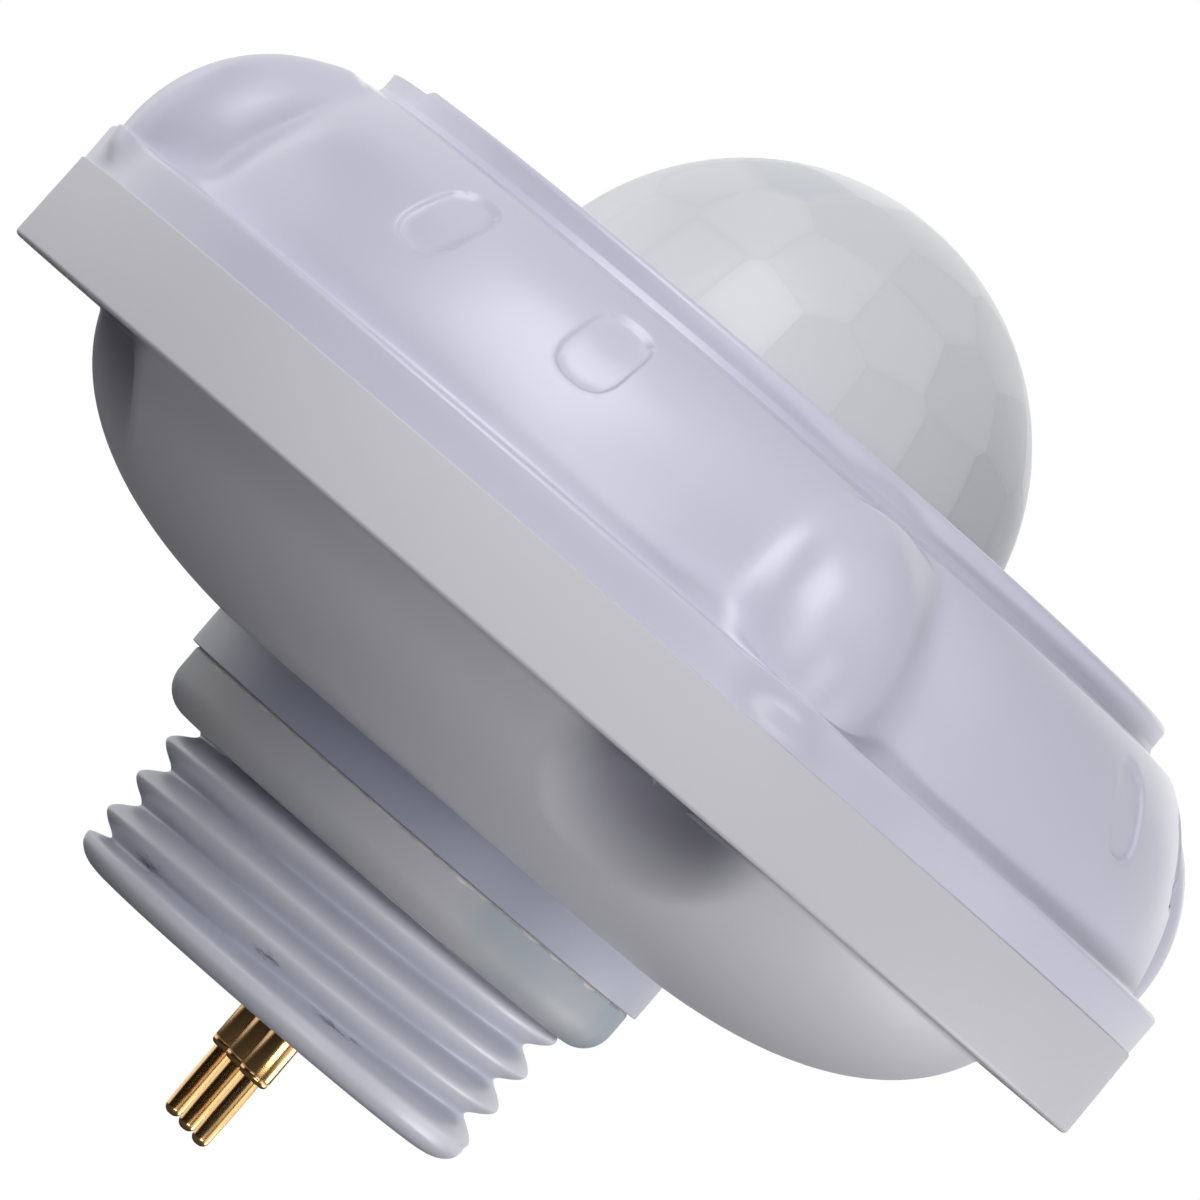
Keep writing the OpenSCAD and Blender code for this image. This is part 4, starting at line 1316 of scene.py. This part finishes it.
def stage_axes():
    """Directions of the picture's level right, towards the camera, and up along the object's axis."""
    side = Vector((math.cos(CAMERA_TURN), math.sin(CAMERA_TURN), 0))
    front = Vector((math.sin(CAMERA_TURN), -math.cos(CAMERA_TURN), 0))
    return side, front, Vector((0, 0, 1))


def look_from(place, aim):
    """Stands a camera or a lamp at a place and points it at another."""
    return Matrix.Translation(place) @ (aim - place).to_track_quat("-Z", "Y").to_matrix().to_4x4()


def add_camera():
    side, front, _ = stage_axes()
    place = front * CAMERA_DISTANCE
    place.z = CAMERA_HEIGHT
    data = bpy.data.cameras.new("camera")
    data.lens = FOCAL_LENGTH
    data.sensor_width = SENSOR_WIDTH
    data.clip_start = 0.01
    data.clip_end = 20
    camera = add_object("camera", data)
    look = look_from(place, side * AIM_SIDE + Vector((0, 0, AIM_HEIGHT)))
    camera.matrix_world = look @ Matrix.Rotation(CAMERA_ROLL, 4, "Z")
    bpy.context.scene.camera = camera


def add_lamp(name, turn, lift, width, power):
    """A soft square lamp: turn to the picture's right and lift above the level, both in degrees."""
    side, front, up = stage_axes()
    turn, lift = math.radians(turn), math.radians(lift)
    level = side * math.sin(turn) + front * math.cos(turn)
    aim = Vector((0, 0, AIM_HEIGHT))
    data = bpy.data.lights.new(name, "AREA")
    data.shape = "SQUARE"
    data.size = width
    data.energy = power
    away = level * math.cos(lift) + up * math.sin(lift)
    add_object(name, data).matrix_world = look_from(aim + away * LAMP_DISTANCE, aim)


def seen_ray(tree, gloss=True):
    """1 for rays from the camera and for rays that show the surroundings in gloss or glass."""
    path = add_node(tree, "LightPath").outputs
    seen = calculate(tree, "MAXIMUM", path["Is Camera Ray"], path["Is Transmission Ray"])
    return calculate(tree, "MAXIMUM", seen, path["Is Glossy Ray"]) if gloss else seen


def world_light(strength):
    """A plain white world, seen at full strength and lighting the object at a lower one."""
    world = bpy.data.worlds.new("studio")
    bpy.context.scene.world = world
    world.use_nodes = True
    tree = world.node_tree
    tree.nodes.clear()
    fill, white = (
        add_node(tree, "Background", {"Color": (1, 1, 1, 1), "Strength": value}).outputs["Background"]
        for value in (strength, 1.0)
    )
    mix = add_node(tree, "MixShader", {"Fac": seen_ray(tree), 1: fill, 2: white})
    add_node(tree, "OutputWorld", {"Surface": mix.outputs["Shader"]})


def add_floor():
    """A pale floor under the hanging object, which keeps its shadow and shows white round it."""
    bm = bmesh.new()
    bmesh.ops.create_grid(bm, x_segments=2, y_segments=2, size=FLOOR_REACH)
    bmesh.ops.translate(bm, verts=bm.verts, vec=(0, 0, FLOOR_HEIGHT))
    floor = mesh_object(bm, "floor")
    material = bpy.data.materials.new("floor paper")
    material.use_nodes = True
    material.cycles.emission_sampling = "NONE"
    tree = material.node_tree
    tree.nodes.clear()
    paper = add_node(tree, "BsdfDiffuse", {"Color": (FLOOR_TONE, FLOOR_TONE, FLOOR_TONE, 1)})
    bright = calculate(tree, "MULTIPLY", seen_ray(tree, gloss=False), FLOOR_GLOW)
    glow = add_node(tree, "Emission", {"Strength": bright})
    both = add_node(tree, "AddShader", {0: paper.outputs["BSDF"], 1: glow.outputs["Emission"]})
    add_node(tree, "OutputMaterial", {"Surface": both.outputs["Shader"]})
    floor.data.materials.append(material)


def add_card(turn):
    """A black card behind the lamps, seen only in reflections."""
    side, front, _ = stage_axes()
    turn = math.radians(turn)
    away = side * math.sin(turn) + front * math.cos(turn)
    bm = bmesh.new()
    bmesh.ops.create_grid(bm, x_segments=1, y_segments=1, size=CARD_SIZE / 2)
    card = mesh_object(bm, "black_card")
    facing = away.to_track_quat("Z", "Y").to_matrix().to_4x4()
    card.matrix_world = Matrix.Translation(away * CARD_DISTANCE) @ facing
    for kind in ("camera", "diffuse", "transmission", "volume_scatter", "shadow"):
        setattr(card, "visible_" + kind, False)
    name = "black card"
    material = bpy.data.materials.get(name) or new_material(name, (0.01, 0.01, 0.01), 0.9)[0]
    card.data.materials.append(material)


class SENSOR_OT_stage(bpy.types.Operator):
    """Sets the camera, the lamps, the world and the floor"""
    bl_idname = "sensor.stage"
    bl_label = "Stage"

    def execute(self, context):
        context.scene.view_settings.view_transform = "Standard"
        add_camera()
        for lamp in LAMPS:
            add_lamp(*lamp)
        world_light(WORLD_FILL)
        add_floor()
        for turn in CARDS:
            add_card(turn)
        return {"FINISHED"}


OPERATORS = (
    SENSOR_OT_cover, SENSOR_OT_bezel, SENSOR_OT_lens, SENSOR_OT_housing, SENSOR_OT_spigot, SENSOR_OT_gasket,
    SENSOR_OT_pins, SENSOR_OT_insides, SENSOR_OT_stage,
)


class SENSOR_PT_panel(bpy.types.Panel):
    """Lists the steps that build the sensor"""
    bl_idname = "SENSOR_PT_panel"
    bl_label = "Motion sensor"
    bl_space_type = "VIEW_3D"
    bl_region_type = "UI"
    bl_category = "Sensor"

    def draw(self, context):
        for operator in OPERATORS:
            self.layout.operator(operator.bl_idname)


CLASSES = tuple(BOOK.values()) + OPERATORS + (SENSOR_PT_panel,)


def register():
    for cls in CLASSES:
        bpy.utils.register_class(cls)
    for name, group in BOOK.items():
        setattr(bpy.types.Scene, "sensor_" + name, PointerProperty(type=group))


def unregister():
    for name in BOOK:
        delattr(bpy.types.Scene, "sensor_" + name)
    for cls in reversed(CLASSES):
        bpy.utils.unregister_class(cls)


def main():
    register()
    for operator in OPERATORS:
        group, name = operator.bl_idname.split(".")
        getattr(getattr(bpy.ops, group), name)()


if __name__ == "__main__":
    main()
